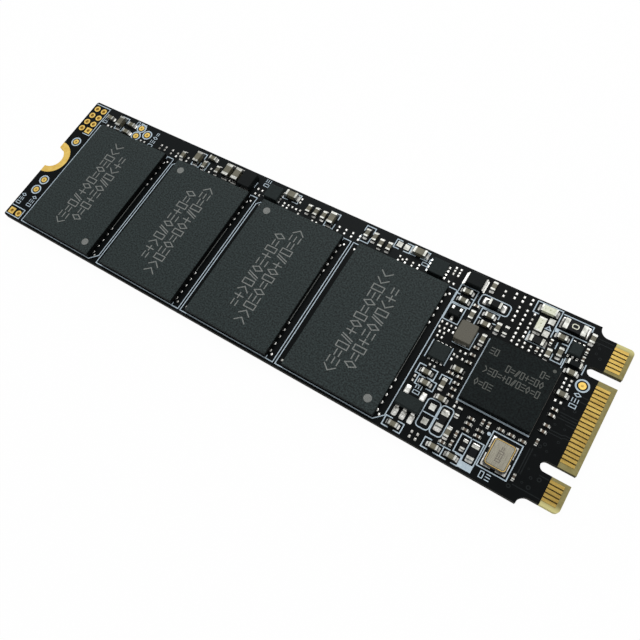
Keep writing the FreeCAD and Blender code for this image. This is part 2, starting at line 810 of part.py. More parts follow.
def build_crystal():
    """Ceramic base with castellated corners on four pads, under a welded metal lid."""
    x, y = place(*PART_PLACES["crystal"])
    pads = []
    outer_x = "(Sizes.crystal_width / 2 + Sizes.crystal_pad_proud)"
    outer_y = "(Sizes.crystal_length / 2 + Sizes.crystal_pad_proud)"
    for low_x in (f"{x} - {outer_x}", f"{x} + {outer_x} - Sizes.crystal_pad_width"):
        for low_y in (f"{y} - {outer_y}", f"{y} + {outer_y} - Sizes.crystal_pad_length"):
            sides = (size("crystal_pad_width"), size("crystal_pad_length"), size("pad_thickness"))
            pads.append(block("crystal_pad", *sides, (low_x, low_y, TOP)))
    gather("crystal_pads", pads)

    body = new_body("crystal_base")
    outline = new_sketch(body, "crystal_outline", "XY_Plane")
    half_x = "Sizes.crystal_width / 2"
    half_y = "Sizes.crystal_length / 2"
    draw_rectangle(outline, f"-{half_x}", half_x, f"-{half_y}", half_y)
    pad(body, outline, size("crystal_base_height"))
    notches = new_sketch(body, "crystal_corner_notches", "XY_Plane")
    for corner_x in (f"-{half_x}", half_x):
        for corner_y in (f"-{half_y}", half_y):
            draw_circle(notches, corner_x, corner_y, size("crystal_corner_notch"))
    pocket(body, notches, size("crystal_base_height"), True)
    seat = f"({TOP} + Sizes.pad_thickness)"
    bind(body, base(x, y, seat))
    nodes.append(body)

    moulding(
        "crystal_lid",
        "(Sizes.crystal_width - 2 * Sizes.crystal_lid_rim)",
        "(Sizes.crystal_length - 2 * Sizes.crystal_lid_rim)",
        size("crystal_lid_height"),
        (x, y, f"({seat} + Sizes.crystal_base_height)"),
        chamfer=size("crystal_lid_edge"),
        corner=size("crystal_lid_radius"),
    )


def build_inductor(kind):
    """A pressed power inductor with a metal terminal along two of its sides."""
    x, y = place(*PART_PLACES[kind])
    width = size(f"{kind}_width")
    length = size(f"{kind}_length")
    height = size(f"{kind}_height")
    moulding(
        f"{kind}_core",
        width,
        length,
        height,
        (x, y, TOP),
        chamfer=size("package_chamfer"),
        corner=size("inductor_corner"),
    )
    terminals = []
    low_x = f"{x} - {width} / 2 + Sizes.inductor_corner + Sizes.terminal_inset"
    bar = f"({width} - 2 * Sizes.inductor_corner - 2 * Sizes.terminal_inset)"
    for low_y in (f"{y} - {length} / 2 - Sizes.terminal_depth", f"{y} + {length} / 2"):
        sides = (bar, size("terminal_depth"), size("terminal_height"))
        terminals.append(block(f"{kind}_terminal", *sides, (low_x, low_y, TOP)))
    gather(f"{kind}_terminals", terminals)


def gull_lead(name, kind, width, wall, turn):
    """A lead bent down from a package wall and out along the card, turned about the upright axis."""
    body = doc.addObject("PartDesign::Body", name)
    profile = new_sketch(body, f"{name}_profile", "XZ_Plane")
    thick = size(f"{kind}_thickness")
    rise = size(f"{kind}_rise")
    knee = size(f"{kind}_knee")
    reach = size(f"{kind}_reach")
    draw_polygon(
        profile,
        [
            ("0", rise),
            (knee, rise),
            (knee, "0"),
            (reach, "0"),
            (reach, thick),
            (f"{knee} + {thick}", thick),
            (f"{knee} + {thick}", f"{rise} + {thick}"),
            ("0", f"{rise} + {thick}"),
        ],
    )
    feature = pad(body, profile, width)
    feature.Midplane = True
    body.Placement.Rotation = FreeCAD.Rotation(FreeCAD.Vector(0, 0, 1), turn)
    bind(body, base(*wall, TOP))
    return body


def leaded_chip(kind, length, width, lead_kind, lead_width, far_leads, near_leads):
    """A moulded chip with gull leads on its far and near sides, at given steps from its middle."""
    x, y = place(*PART_PLACES[kind])
    seat = f"({TOP} + Sizes.moulding_standoff)"
    height = size(f"{kind}_height")
    moulding(f"{kind}_body", length, width, height, (x, y, seat), chamfer=size("moulding_chamfer"))
    leads = []
    for step in far_leads:
        wall = (f"{x} + {step} * Sizes.{kind}_lead_pitch", f"{y} + {width} / 2")
        leads.append(gull_lead(f"{kind}_far_lead", lead_kind, lead_width, wall, 90))
    for step in near_leads:
        wall = (f"{x} + {step} * Sizes.{kind}_lead_pitch", f"{y} - {width} / 2")
        leads.append(gull_lead(f"{kind}_near_lead", lead_kind, lead_width, wall, -90))
    gather(f"{kind}_leads", leads)


def build_rectifier():
    """The rectifier diode with a wide tab at each end."""
    x, y = place(*PART_PLACES["rectifier"])
    seat = f"({TOP} + Sizes.moulding_standoff)"
    length = size("rectifier_length")
    sides = (length, size("rectifier_width"), size("rectifier_height"))
    moulding("rectifier_body", *sides, (x, y, seat), chamfer=size("moulding_chamfer"))
    tabs = [
        gull_lead("rectifier_right_tab", "tab", size("tab_width"), (f"{x} + {length} / 2", y), 0),
        gull_lead("rectifier_left_tab", "tab", size("tab_width"), (f"{x} - {length} / 2", y), 180),
    ]
    gather("rectifier_tabs", tabs)


def build_leadless_chips():
    """Three square power chips, each on two rows of flat pads."""
    seat = f"({TOP} + Sizes.pad_thickness)"
    edge = size("leadless_size")
    reach = "(Sizes.leadless_pad_inside + Sizes.leadless_pad_outside)"
    pads = []
    for number, (*spot, pads_face) in enumerate(LEADLESS_PLACES, start=1):
        x, y = place(*spot)
        chip = (edge, edge, size("leadless_height"))
        moulding(f"leadless_chip_{number}", *chip, (x, y, seat), chamfer=size("package_chamfer"))
        for row_low in (
            f"(-{edge} / 2 - Sizes.leadless_pad_outside)",
            f"({edge} / 2 - Sizes.leadless_pad_inside)",
        ):
            for step in (-1.5, -0.5, 0.5, 1.5):
                pad_low = f"({step} * Sizes.leadless_pad_pitch - Sizes.leadless_pad_width / 2)"
                sides = (reach, size("leadless_pad_width"), size("pad_thickness"))
                low = (f"{x} + {row_low}", f"{y} + {pad_low}", TOP)
                if pads_face == "y":
                    sides = (sides[1], sides[0], sides[2])
                    low = (f"{x} + {pad_low}", f"{y} + {row_low}", TOP)
                pads.append(block(f"leadless_pad_{number}", *sides, low))
    gather("leadless_chip_pads", pads)


def build_two_ended_chips(kind, spots):
    """All chips of one kind: bodies in one sub-part and their metal ends in another."""
    length = size(f"{kind}_length")
    width = size(f"{kind}_width")
    height = size(f"{kind}_height")
    end = size(f"{kind}_end")
    metal = size("end_metal")
    bodies = []
    ends = []
    for column, edge, along, across, axis in spots:
        x, y = place(column, edge, along, across)
        body_sides = [f"({length} - 2 * {end})", f"({width} - 2 * {metal})", f"({height} - 2 * {metal})"]
        body_low = [f"(-{length} / 2 + {end})", f"(-{width} / 2 + {metal})"]
        end_sides = [end, width, height]
        end_lows = [[f"(-{length} / 2)", f"(-{width} / 2)"], [f"({length} / 2 - {end})", f"(-{width} / 2)"]]
        if axis == "y":
            body_sides[:2] = body_sides[1::-1]
            body_low.reverse()
            end_sides[:2] = end_sides[1::-1]
            for low in end_lows:
                low.reverse()
        body_place = (f"{x} + {body_low[0]}", f"{y} + {body_low[1]}", f"{TOP} + {metal}")
        bodies.append(block(f"{kind}_ceramic", *body_sides, body_place))
        for low in end_lows:
            end_place = (f"{x} + {low[0]}", f"{y} + {low[1]}", TOP)
            ends.append(block(f"{kind}_metal", *end_sides, end_place))
    gather(f"{kind}_bodies", bodies)
    gather(f"{kind}_ends", ends)


build_circuit_board()
build_contacts("edge_contacts_upper", contact_pins(1), f"({TOP} - Sizes.foil_thickness)")
build_contacts("edge_contacts_lower", contact_pins(2), "0")
build_attachment_ring()
build_header_plating()
build_test_pads()
build_bare_pads()
build_memories()
build_controller()
build_crystal()
build_inductor("grey_inductor")
build_inductor("black_inductor")
build_rectifier()
leaded_chip(
    "regulator",
    size("regulator_length"),
    size("regulator_width"),
    "big_lead",
    size("regulator_lead_width"),
    far_leads=(-1, 1),
    near_leads=(-1, 0, 1),
)
leaded_chip(
    "transistor",
    size("transistor_length"),
    size("transistor_width"),
    "small_lead",
    size("small_lead_width"),
    far_leads=(-1, 1),
    near_leads=(0,),
)
leaded_chip(
    "logic",
    size("logic_width"),
    size("logic_length"),
    "small_lead",
    size("small_lead_width"),
    far_leads=(-1, 0, 1),
    near_leads=(-1, 0, 1),
)
build_leadless_chips()
for chip_kind, chip_spots in CHIP_PLACES.items():
    build_two_ended_chips(chip_kind, chip_spots)

doc.recompute()
failed = [o.Label for o in doc.Objects if "Invalid" in o.State or "Error" in o.State]
if failed:
    raise RuntimeError(f"not built: {failed}")
for node in nodes:
    if node.Shape.isNull() or not node.Shape.isValid():
        raise RuntimeError(f"bad shape: {node.Label}")

os.makedirs("parts", exist_ok=True)
for node in nodes:
    node.Shape.exportStep(f"parts/{node.Label}.step")
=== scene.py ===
import math

import bpy
from mathutils import Matrix, Vector


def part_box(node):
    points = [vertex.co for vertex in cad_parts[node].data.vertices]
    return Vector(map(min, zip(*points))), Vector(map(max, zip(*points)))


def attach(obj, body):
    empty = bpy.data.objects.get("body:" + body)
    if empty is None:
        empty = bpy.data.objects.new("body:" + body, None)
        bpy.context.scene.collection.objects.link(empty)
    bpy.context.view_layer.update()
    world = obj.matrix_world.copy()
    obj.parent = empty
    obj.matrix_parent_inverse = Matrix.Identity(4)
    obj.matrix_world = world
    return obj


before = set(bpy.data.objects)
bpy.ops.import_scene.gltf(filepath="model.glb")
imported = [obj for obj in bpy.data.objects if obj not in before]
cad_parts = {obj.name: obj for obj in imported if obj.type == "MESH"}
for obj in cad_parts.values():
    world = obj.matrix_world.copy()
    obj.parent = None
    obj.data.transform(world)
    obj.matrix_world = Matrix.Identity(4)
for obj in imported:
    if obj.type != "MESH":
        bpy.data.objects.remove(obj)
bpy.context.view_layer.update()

bl_info = {
    "name": "Gumstick drive looks",
    "version": (1, 0, 0),
    "blender": (4, 5, 0),
    "location": "View3D > Sidebar > Drive",
    "description": "Dresses the packed drive card with finishes, solder, print and a stage",
    "category": "Object",
}

MM = 0.001
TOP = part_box("circuit_board")[1].z
BARE_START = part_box("edge_contacts_upper")[0].x
CONTROLLER_LOW, CONTROLLER_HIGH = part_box("controller_chip")
MEMORIES = [f"flash_memory_{number}" for number in range(1, 5)]
MEMORY_BOXES = [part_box(node) for node in MEMORIES]

# Memory packages that are turned half round
TURNED_MEMORIES = (1, 4)

# The tongue's outer sides lie a margin past its last contacts, and light comes through their rims
CONTACT_MARGIN = 0.5 * MM
TONGUE_SIDE = max(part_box(f"edge_contacts_{face}")[1].y for face in ("upper", "lower")) + CONTACT_MARGIN
LIT_RIM = 0.8 * MM

# A face counts as flat where its normal's Z passes this
FLAT_FROM = 0.5

# Bars that cross differ a little in height, so that their tops don't lie in one plane
BAR_LEVELS = 5
BAR_LIFT = 0.06

# Corners of a CAD mesh that lie nearer than this are one
MERGE = 0.001 * MM

# Pin dots lie in shallow dimples of the packages
DIMPLE_DEPTH = 0.03 * MM
DOT_HEIGHT = 0.02 * MM

# Two-ended chips: how far the solder runs out past each end, in mm
SOLDER_REACH = {
    "large_capacitor": 0.4,
    "medium_capacitor": 0.36,
    "small_capacitor": 0.28,
    "tiny_passive": 0.13,
    "medium_resistor": 0.3,
    "small_resistor": 0.22,
    "indicator_led": 0.28,
    "zero_ohm_link": 0.3,
    "ferrite_bead": 0.42,
    "clamp_diode": 0.2,
}

# Bare pads between the parts, in mm from the middle of the card: X of the columns and Y of the pads in each
PAD_BLOCKS = (
    ((-35.65, -35.0, -29.25, -28.6), (8.15,)), ((-25.8, -23.75), (8.85, 8.25)), ((-24.95,), (8.85, 8.35)),
    ((-22.75, -20.9), (8.75, 8.2)), ((-16.85,), (8.7, 8.1)), ((-14.65, -14.1, -13.4, -12.5), (8.25,)),
    ((-9.05, -8.4), (8.9, 8.1)), ((-2.85,), (10.15, 9.6)), ((-4.65,), (8.6, 8.15)), ((-4.0,), (8.55, 8.1)),
    ((-3.4,), (8.55,)), ((-2.8,), (8.5,)), ((-2.2,), (8.55, 8.0)), ((0.0, 0.6), (7.95,)),
    ((3.6, 4.6, 5.6, 6.6), (8.78, 8.22)), ((12.3,), (8.6, 8.0)), ((12.75,), (8.3,)),
    ((13.2, 14.9), (8.55, 8.05)), ((14.1,), (8.5, 8.05)), ((18.93, 19.55), (10.25, 9.8, 9.4, 8.2)),
    ((25.15,), (10.1, 9.45)), ((26.35,), (10.4, 9.8)), ((27.3,), (10.4, 9.8, 9.0, 8.4, 7.75, 7.15)),
    ((28.25,), (10.5, 9.9, 9.0, 8.4, 7.75, 7.15, 6.55, 5.9, 5.35, 4.85)),
    ((29.15,), (8.95, 8.25, 7.7, 7.1, 6.5, 5.9)), ((28.95, 29.6), (5.25, 4.7)), ((30.35,), (5.2, 4.65)),
    ((31.6,), (5.3, 4.75)), ((20.6, 21.2, 21.75, 22.3), (3.3, 2.65)), ((20.9, 21.45), (2.1, 1.5)),
    ((24.0, 24.6), (1.05, 0.25)), ((23.55,), (0.35, -0.3)), ((21.8, 22.35), (-2.0,)),
    ((21.0,), (-4.0, -4.55)), ((26.3,), (-4.45, -5.0)), ((23.7, 24.4), (-9.75, -10.35)),
    ((35.0, 35.6), (3.6, 3.05, 2.5, 0.85)),
)

# Broad soldered pads, in mm: low X, high X, low Y, high Y
BROAD_PADS = (
    (20.75, 21.35, -6.3, -5.25), (22.65, 23.25, -6.3, -5.25),
    (20.75, 21.35, -9.2, -8.05), (21.7, 22.3, -9.2, -8.05), (22.65, 23.25, -9.2, -8.05),
    (25.45, 26.25, -6.5, -5.8), (25.45, 26.25, -8.45, -7.75),
    (23.45, 24.1, 7.45, 8.35), (25.5, 26.2, 7.45, 8.35),
    (20.68, 21.04, 5.2, 5.8), (21.66, 22.02, 5.2, 5.8), (21.17, 21.53, 3.85, 4.4),
    (31.95, 32.4, 8.8, 10.2), (34.6, 35.15, 8.8, 10.2),
)

# Pads that show at the sides of the memory packages, in mm along Y from the package's middle
EDGE_PAD_STEPS = (8.0, 7.0, 6.0, 5.0, 4.0, -4.0, -5.0, -6.0, -7.0, -8.0)
CORNER_DOT_STEPS = (8.32, -8.38)

# Printed boxes round the small parts, with a gap in two sides or with none, in mm:
# low X, high X, low Y, high Y
OPEN_BOXES_Y = (
    (-34.5, -33.2, 8.2, 10.5), (-20.0, -18.7, 8.1, 10.4), (1.6, 2.9, 8.1, 10.35), (6.65, 7.9, 8.3, 10.6),
)
OPEN_BOXES_X = (
    (-5.4, -3.15, 9.25, 10.55), (10.9, 13.0, 9.4, 10.6), (13.1, 15.35, 9.45, 10.6),
    (20.45, 22.65, -10.65, -9.5), (25.2, 27.4, -10.65, -9.5), (27.4, 29.4, -10.65, -9.5),
    (20.8, 23.0, -3.55, -2.35), (21.35, 23.5, -4.75, -3.65),
)
FULL_BOXES = (
    (20.4, 22.25, 3.75, 6.0), (28.35, 29.5, -9.4, -7.25), (29.5, 30.85, -9.95, -7.25),
    (31.05, 34.3, -9.5, -5.35),
)
ROUND_BOXES = ((23.03, 26.62, 7.15, 8.68), (23.56, 25.07, -8.93, -5.4), (25.2, 26.6, -8.93, -5.42))

# Single printed lines, in mm, as runs of points
PRINT_RUNS = (
    ((-39.85, 10.65), (-37.2, 10.65), (-37.2, 5.35), (-38.45, 5.35)),
    ((-39.85, -9.15), (-37.35, -9.15), (-37.35, -10.65), (-39.85, -10.65)),
    ((-18.1, 8.05), (-17.6, 8.05), (-17.6, 9.4)),
    ((-9.7, 8.9), (-9.7, 9.7)),
    ((15.85, 8.3), (15.85, 8.75)), ((15.85, 9.0), (15.85, 9.45)), ((15.85, 9.7), (15.85, 10.1)),
    ((20.4, 6.15), (20.4, 8.65), (22.55, 8.65), (22.55, 6.15), (20.4, 6.15)),
    ((20.4, 7.4), (20.75, 7.4)), ((22.2, 7.4), (22.55, 7.4)),
    ((23.8, 4.7), (23.8, 7.0), (25.9, 7.0), (25.9, 6.5)),
    ((23.8, 5.75), (24.1, 5.75)), ((25.6, 5.75), (25.9, 5.75)),
    ((26.15, 3.95), (26.15, -4.1), (34.3, -4.1)),
    ((20.8, 0.9), (20.8, -1.35)), ((23.2, 0.9), (23.2, -1.35)),
    ((23.5, -3.0), (23.5, -2.4), (24.7, -2.4), (24.7, -3.0)),
    ((23.6, -7.14), (25.45, -7.14)),
    ((22.7, 1.65), (24.62, 1.65)), ((24.75, 1.65), (24.75, 3.9)),
    ((30.8, 7.95), (31.1, 8.35), (31.4, 7.95), (30.8, 7.95)),
    ((28.8, 9.25), (28.8, 10.75), (31.7, 10.75), (31.7, 7.3)), ((28.8, 9.25), (29.45, 9.25)),
    ((29.5, 6.85), (29.5, 5.7), (31.65, 5.7)),
    ((31.9, 10.5), (35.25, 10.5), (35.25, 9.9)), ((31.7, 8.5), (35.2, 8.5)),
    ((33.1, 7.15), (33.8, 7.15)), ((33.8, 8.3), (33.8, 6.3)), ((32.65, 7.0), (32.65, 6.25)),
    ((32.7, 5.5), (32.7, 4.8), (33.85, 4.8), (33.85, 5.5)),
    ((34.05, 4.5), (34.05, 5.7)),
    ((36.2, 6.0), (36.2, 4.8)),
)
# The printed line beside the controller, drawn darker as painted shade
SHADED_PRINT_RUNS = (((34.3, -4.1), (34.3, 3.95)),)
PRINT_DOTS = ((30.75, -5.9, 0.2),)
PRINT_PATCHES = ((29.4, 30.9, -10.65, -10.0), (31.7, 32.2, 8.1, 8.5), (26.1, 34.35, -4.22, -4.02))

# Tracks under the solder mask, in mm, as runs of points, and vias as X, Y and radius
TRACK_RUNS = (
    ((35.8, -2.35), (37.1, -2.35), (37.4, -2.2), (37.9, -2.2)),
    ((35.8, -2.68), (37.2, -2.68), (37.5, -2.5), (37.9, -2.5)),
    ((35.9, -0.75), (37.9, -0.75)), ((36.2, -0.4), (36.6, -0.45), (37.9, -0.45)),
    ((37.0, -1.1), (37.9, -1.1)), ((36.0, -0.1), (37.9, -0.1)),
    ((34.95, -5.2), (34.95, -8.1)), ((35.2, -5.1), (35.2, -8.1)), ((35.0, -9.45), (37.8, -9.45)),
    ((36.1, 9.5), (37.8, 9.5)), ((36.1, 9.0), (37.8, 9.0)), ((37.3, 2.5), (37.9, 2.5)),
    ((36.9, -7.25), (37.8, -7.25)), ((37.3, 1.9), (37.9, 1.9)),
)
VIAS = (
    (37.1, -1.65, 0.14), (36.05, -1.6, 0.14), (37.1, -3.2, 0.16), (36.05, -4.05, 0.2), (35.7, -4.5, 0.2),
    (36.5, -4.65, 0.15), (35.65, -5.6, 0.13), (35.7, -7.2, 0.12), (37.05, -7.7, 0.25), (36.25, -7.95, 0.18),
    (36.45, -8.95, 0.24), (35.7, -8.8, 0.13), (34.7, -9.8, 0.24), (36.65, 8.45, 0.16), (36.4, 8.8, 0.13),
    (36.6, 7.75, 0.15), (37.15, 7.35, 0.18), (37.2, 0.65, 0.18), (36.15, 0.4, 0.14),
)

# Header holes whose lands are square: X and Y in mm
SQUARE_LANDS = ((-37.95, 6.07), (-39.2, -10.0))

# Short rows of plain marks beside the parts: X and Y in mm, direction in degrees and how many
MARK_ROWS = (
    (-36.6, 8.1, 90, 2), (-27.5, 8.3, 90, 4), (-8.4, 9.4, 90, 2), (15.4, 8.5, 90, 2), (-31.6, 10.4, 0, 3),
    (36.75, 1.0, 90, 3), (31.45, -10.15, 0, 2), (22.0, -6.1, 90, 2), (-37.55, -8.3, 90, 3),
    (-39.35, -8.6, 90, 3),
)
MARK_SIGNS = ("frame", "triple", "diamond", "pair")

# Plain signs that fill the rows of marks, as runs of points in a unit cell
SIGNS = {
    "frame": (((0.05, 0.0), (0.95, 0.0), (0.95, 1.0), (0.05, 1.0), (0.05, 0.0)),),
    "pair": (((0.0, 0.3), (1.0, 0.3)), ((0.0, 0.7), (1.0, 0.7))),
    "triple": (((0.0, 0.05), (1.0, 0.05)), ((0.0, 0.5), (1.0, 0.5)), ((0.0, 0.95), (1.0, 0.95))),
    "cross": (((0.0, 0.5), (1.0, 0.5)), ((0.5, 0.1), (0.5, 0.9))),
    "diamond": (((0.5, 0.0), (1.0, 0.5), (0.5, 1.0), (0.0, 0.5), (0.5, 0.0)),),
    "chevron": (((0.9, 1.0), (0.1, 0.5), (0.9, 0.0)),),
    "hatch": (((0.0, 0.0), (0.6, 1.0)), ((0.4, 0.0), (1.0, 1.0))),
}
LONG_ROW = (
    "chevron", "triple", "pair", "frame", "hatch", "cross", "diamond", "frame", "pair", "diamond", "triple",
    "frame", "chevron", "chevron",
)
SHORT_ROW = (
    "diamond", "pair", "frame", "cross", "triple", "diamond", "hatch", "frame", "chevron", "cross", "pair",
)

# Rows of signs on the controller: X and Y from its middle in mm, and the signs
CONTROLLER_ROWS = (
    (-2.95, 2.4, ("frame", "triple")),
    (2.75, 2.4, ("pair", "frame")),
    (1.0, 1.25, ("diamond", "frame", "triple", "cross", "frame", "hatch", "pair", "frame")),
    (0.0, 0.1, ("frame", "pair", "diamond", "triple", "frame", "hatch", "frame", "cross", "pair", "frame",
                "triple", "chevron")),
    (-2.4, -1.6, ("triple", "frame", "pair", "diamond")),
)


def linear(hex_colour):
    """Linear colour of an sRGB hex value."""
    channels = [int(hex_colour[i : i + 2], 16) / 255 for i in (1, 3, 5)]
    return tuple(c / 12.92 if c <= 0.04045 else ((c + 0.055) / 1.055) ** 2.4 for c in channels)


def colour(name, description, hex_colour):
    """A colour that a user can change."""
    return bpy.props.FloatVectorProperty(
        name=name, description=description, subtype="COLOR", size=3, min=0.0, max=1.0,
        default=linear(hex_colour),
    )


def length(name, description, millimetres):
    """A length that a user can change."""
    return bpy.props.FloatProperty(
        name=name, description=description, default=millimetres * MM, precision=6, unit="LENGTH",
    )


class DriveSizes(bpy.types.PropertyGroup):
    """Sizes of what is laid on the card."""

    ink_line: length("Ink line", "Width of a printed line", 0.12)
    thin_line: length("Thin ink line", "Width of the printed lines beside the memory packages", 0.11)
    # The line beside the controller is drawn darker as painted shade
    fine_line: length("Fine ink line", "Width of the worn line beside the controller", 0.1)
    ink_height: length("Ink height", "Thickness of the print", 0.012)
    mark_line: length("Mark line", "Width of a stroke of the signs on the packages", 0.14)
    small_mark_line: length("Small mark line", "Width of a stroke of the small signs on the card", 0.09)
    sign_height: length("Sign height", "Height of a sign on a memory package", 1.45)
    sign_width: length("Sign width", "Width of a sign on a memory package", 0.76)
    sign_pitch: length("Sign pitch", "Step from sign to sign", 1.035)
    row_offset: length("Row offset", "Distance of each row of signs from the package's middle", 0.98)
    dot_inset: length("Dot inset", "Distance of a pin dot from the package's sides", 1.38)
    dot_radius: length("Dot radius", "Radius of a pin dot", 0.49)
    pad_width: length("Pad width", "Width of a small bare pad", 0.28)
    pad_length: length("Pad length", "Length of a small bare pad", 0.33)
    pad_height: length("Pad height", "Thickness of a bare pad with its solder", 0.1)
    edge_pad_radius: length("Edge pad radius", "Radius of the pads beside the memory packages", 0.19)
    ring_inner: length("Ring inner radius", "Inner radius of the print round a test pad", 0.58)
    ring_outer: length("Ring outer radius", "Outer radius of the print round a test pad", 0.76)
    package_line: length("Package line", "Distance of the printed lines from a memory package's middle", 7.0)
    trace_width: length("Trace width", "Width of a copper track under the mask", 0.12)
    trace_height: length("Trace height", "Relief of a copper track under the mask", 0.012)


class DriveColours(bpy.types.PropertyGroup):
    """Colours of the finishes."""

    mask: colour("Solder mask", "Black solder mask", "#0a0c0d")
    # Also the painted sheen of the mask in the strip behind the memory packages
    mask_pour_and_sheen: colour("Mask over copper", "Solder mask over a copper plane", "#16191a")
    laminate: colour("Laminate", "Bare glass-epoxy laminate", "#7f7547")
    laminate_pale: colour("Pale laminate", "Paler fibres of the laminate", "#a39a6b")
    laminate_lit: colour("Lit laminate", "Laminate that light comes through at the outer rims", "#d6ce8e")
    # The sawn edge's laminate is drawn dark brown, partly as painted shade
    edge: colour("Sawn edge", "Sawn edge of the laminate", "#423d26")
    edge_pale: colour("Pale sawn edge", "Paler plies of the sawn edge", "#625d40")
    long_edge: colour("Coated edge", "Mask that has run over the long edges", "#1d1c15")
    # Painted shade in the narrow gaps between the contacts, over the stained laminate
    gap: colour("Contact gap", "Stained laminate between the contacts", "#54451f")
    gap_deep_shade: colour("Dark contact gap", "Darker stains between the contacts", "#2e2510")
    track: colour("Track", "Mask over a copper track", "#202425")
    gold: colour("Gold", "Gold plating", "#d0b566")
    gold_deep: colour("Deep gold", "Darker patches of the gold plating", "#c1a050")
    contact: colour("Contact gold", "Hard gold of the edge contacts", "#9c8547")
    contact_deep: colour("Deep contact gold", "Darker wipe marks of the edge contacts", "#826a35")
    end_tin: colour("End metal", "Tinned ends of the chips", "#b6b7b2")
    end_grey: colour("Grey end metal", "Duller parts of the tinned ends", "#75756f")
    tin: colour("Tin", "Bright solder", "#e0e0dc")
    tin_grey: colour("Grey tin", "Duller patches of the solder", "#71706b")
    dull_tin: colour("Dull tin", "Solder on the broad pads", "#b2b3ae")
    dull_grey: colour("Grey dull tin", "Greyer parts of the broad pads", "#72726c")
    moulding: colour("Moulding", "Epoxy moulding of the packages", "#151919")
    moulding_speck: colour("Moulding speck", "Pale filler grains in the moulding", "#343e3e")
    controller_speck: colour("Controller speck", "Filler grains in the controller's moulding", "#1b2222")
    # Painted shade: the packages' side walls are drawn nearly black
    moulding_wall_shade: colour("Moulding wall", "Sawn side walls of the packages", "#040505")
    small_moulding: colour("Small moulding", "Moulding of the small chips", "#0e1011")
    grey_moulding: colour("Grey moulding", "Moulding of the power and logic chips", "#1f2424")
    grey_speck: colour("Grey moulding speck", "Pale grains in the grey moulding", "#2a3131")
    ink: colour("Ink", "White print", "#c9d9e3")
    ink_worn: colour("Worn ink", "Thinner patches of the print", "#a8bac6")
    laser: colour("Laser mark", "Grey laser marks", "#9a9b97")
    laser_faint: colour("Faint mark", "Faint marks on the controller", "#5a5850")
    ceramic: colour("Ceramic", "Capacitor ceramic", "#726e5b")
    ceramic_dark: colour("Dark ceramic", "Darker capacitor ceramic", "#4f4d3f")
    tiny: colour("Tiny chip", "Brown of the tiny chips", "#6f6050")
    tiny_dark: colour("Dark tiny chip", "Darker tiny chips", "#28231f")
    lid_mark: colour("Lid mark", "Grey marks on the crystal lid", "#6f665b")
    die: colour("Die", "Dies seen through the resin", "#77795c")
    glaze: colour("Glaze", "Black resistor glaze", "#0c0e10")
    iron: colour("Iron powder", "Pressed iron powder", "#5e5b4e")
    iron_dark: colour("Dark iron powder", "Darker grains of the iron powder", "#45423a")
    ferrite: colour("Ferrite", "Black ferrite", "#0d0f10")
    resin: colour("Resin", "Pale resin of the light emitting diodes", "#e9ebdc")
    resin_warm: colour("Warm resin", "Yellower parts of the resin", "#cbcfae")
    lid: colour("Crystal lid", "Nickel lid of the crystal", "#817e72")
    lid_grey: colour("Grey lid", "Greyer brush lines of the lid", "#6c695f")
    crystal_ceramic: colour("Crystal ceramic", "Ceramic base of the crystal", "#3a352d")
    seam: colour("Seam", "Gold alloy seam round the crystal's lid", "#bfa262")
    seam_dark: colour("Dark seam", "Duller parts of the seam", "#937d4b")
    floor: colour("Floor", "Pale floor", "#fdfdfd")


class DriveStage(bpy.types.PropertyGroup):
    """Camera and light."""

    place: bpy.props.FloatVectorProperty(
        name="Camera place", description="Where the camera stands", subtype="TRANSLATION", unit="LENGTH",
        default=(30.26 * MM, -25.30 * MM, 70.67 * MM), precision=6,
    )
    turn: bpy.props.FloatVectorProperty(
        name="Camera turn", description="How the camera is turned", subtype="EULER",
        default=(math.radians(23.821), math.radians(9.254), math.radians(32.802)),
    )
    lens: bpy.props.FloatProperty(name="Lens", description="Focal length in millimetres", default=36.02)
    shift: bpy.props.FloatVectorProperty(
        name="Shift", description="Shift of the frame, as a share of its width", size=2,
        default=(0.060, -0.0056),
    )
    key_power: bpy.props.FloatProperty(
        name="Key light", description="Soft box overhead, in watts", default=2.0,
    )
    fill_power: bpy.props.FloatProperty(
        name="Fill light", description="Soft box in front, in watts", default=0.1,
    )
    sky: bpy.props.FloatProperty(name="Sky", description="Strength of the light all round", default=0.42)


def rgba(name):
    """One of the colours that a user can change, as a node takes it."""
    return (*getattr(bpy.context.scene.drive_colours, name), 1.0)


def add_node(tree, kind, settings=None, links=None):
    """Add a shader node with its settings, by socket or property name, and its links.

    A link comes from a socket, or from a node, which stands for its first output in use.
    """
    node = tree.nodes.new("ShaderNode" + kind)
    for name, value in (settings or {}).items():
        if isinstance(name, int) or name in node.inputs:
            node.inputs[name].default_value = value
        else:
            setattr(node, name, value)
    for name, source in (links or {}).items():
        if isinstance(source, bpy.types.Node):
            source = next(socket for socket in source.outputs if socket.enabled)
        tree.links.new(source, node.inputs[name])
    return node


def begin_finish(name):
    """A new material with an empty node tree."""
    material = bpy.data.materials.new(name)
    material.use_nodes = True
    material.node_tree.nodes.clear()
    return material, material.node_tree


def end_finish(tree, constants, links):
    """The shader of a finish, with its constants and links, and the output."""
    shader = add_node(tree, "BsdfPrincipled", constants, links)
    add_node(tree, "OutputMaterial", {}, {"Surface": shader})


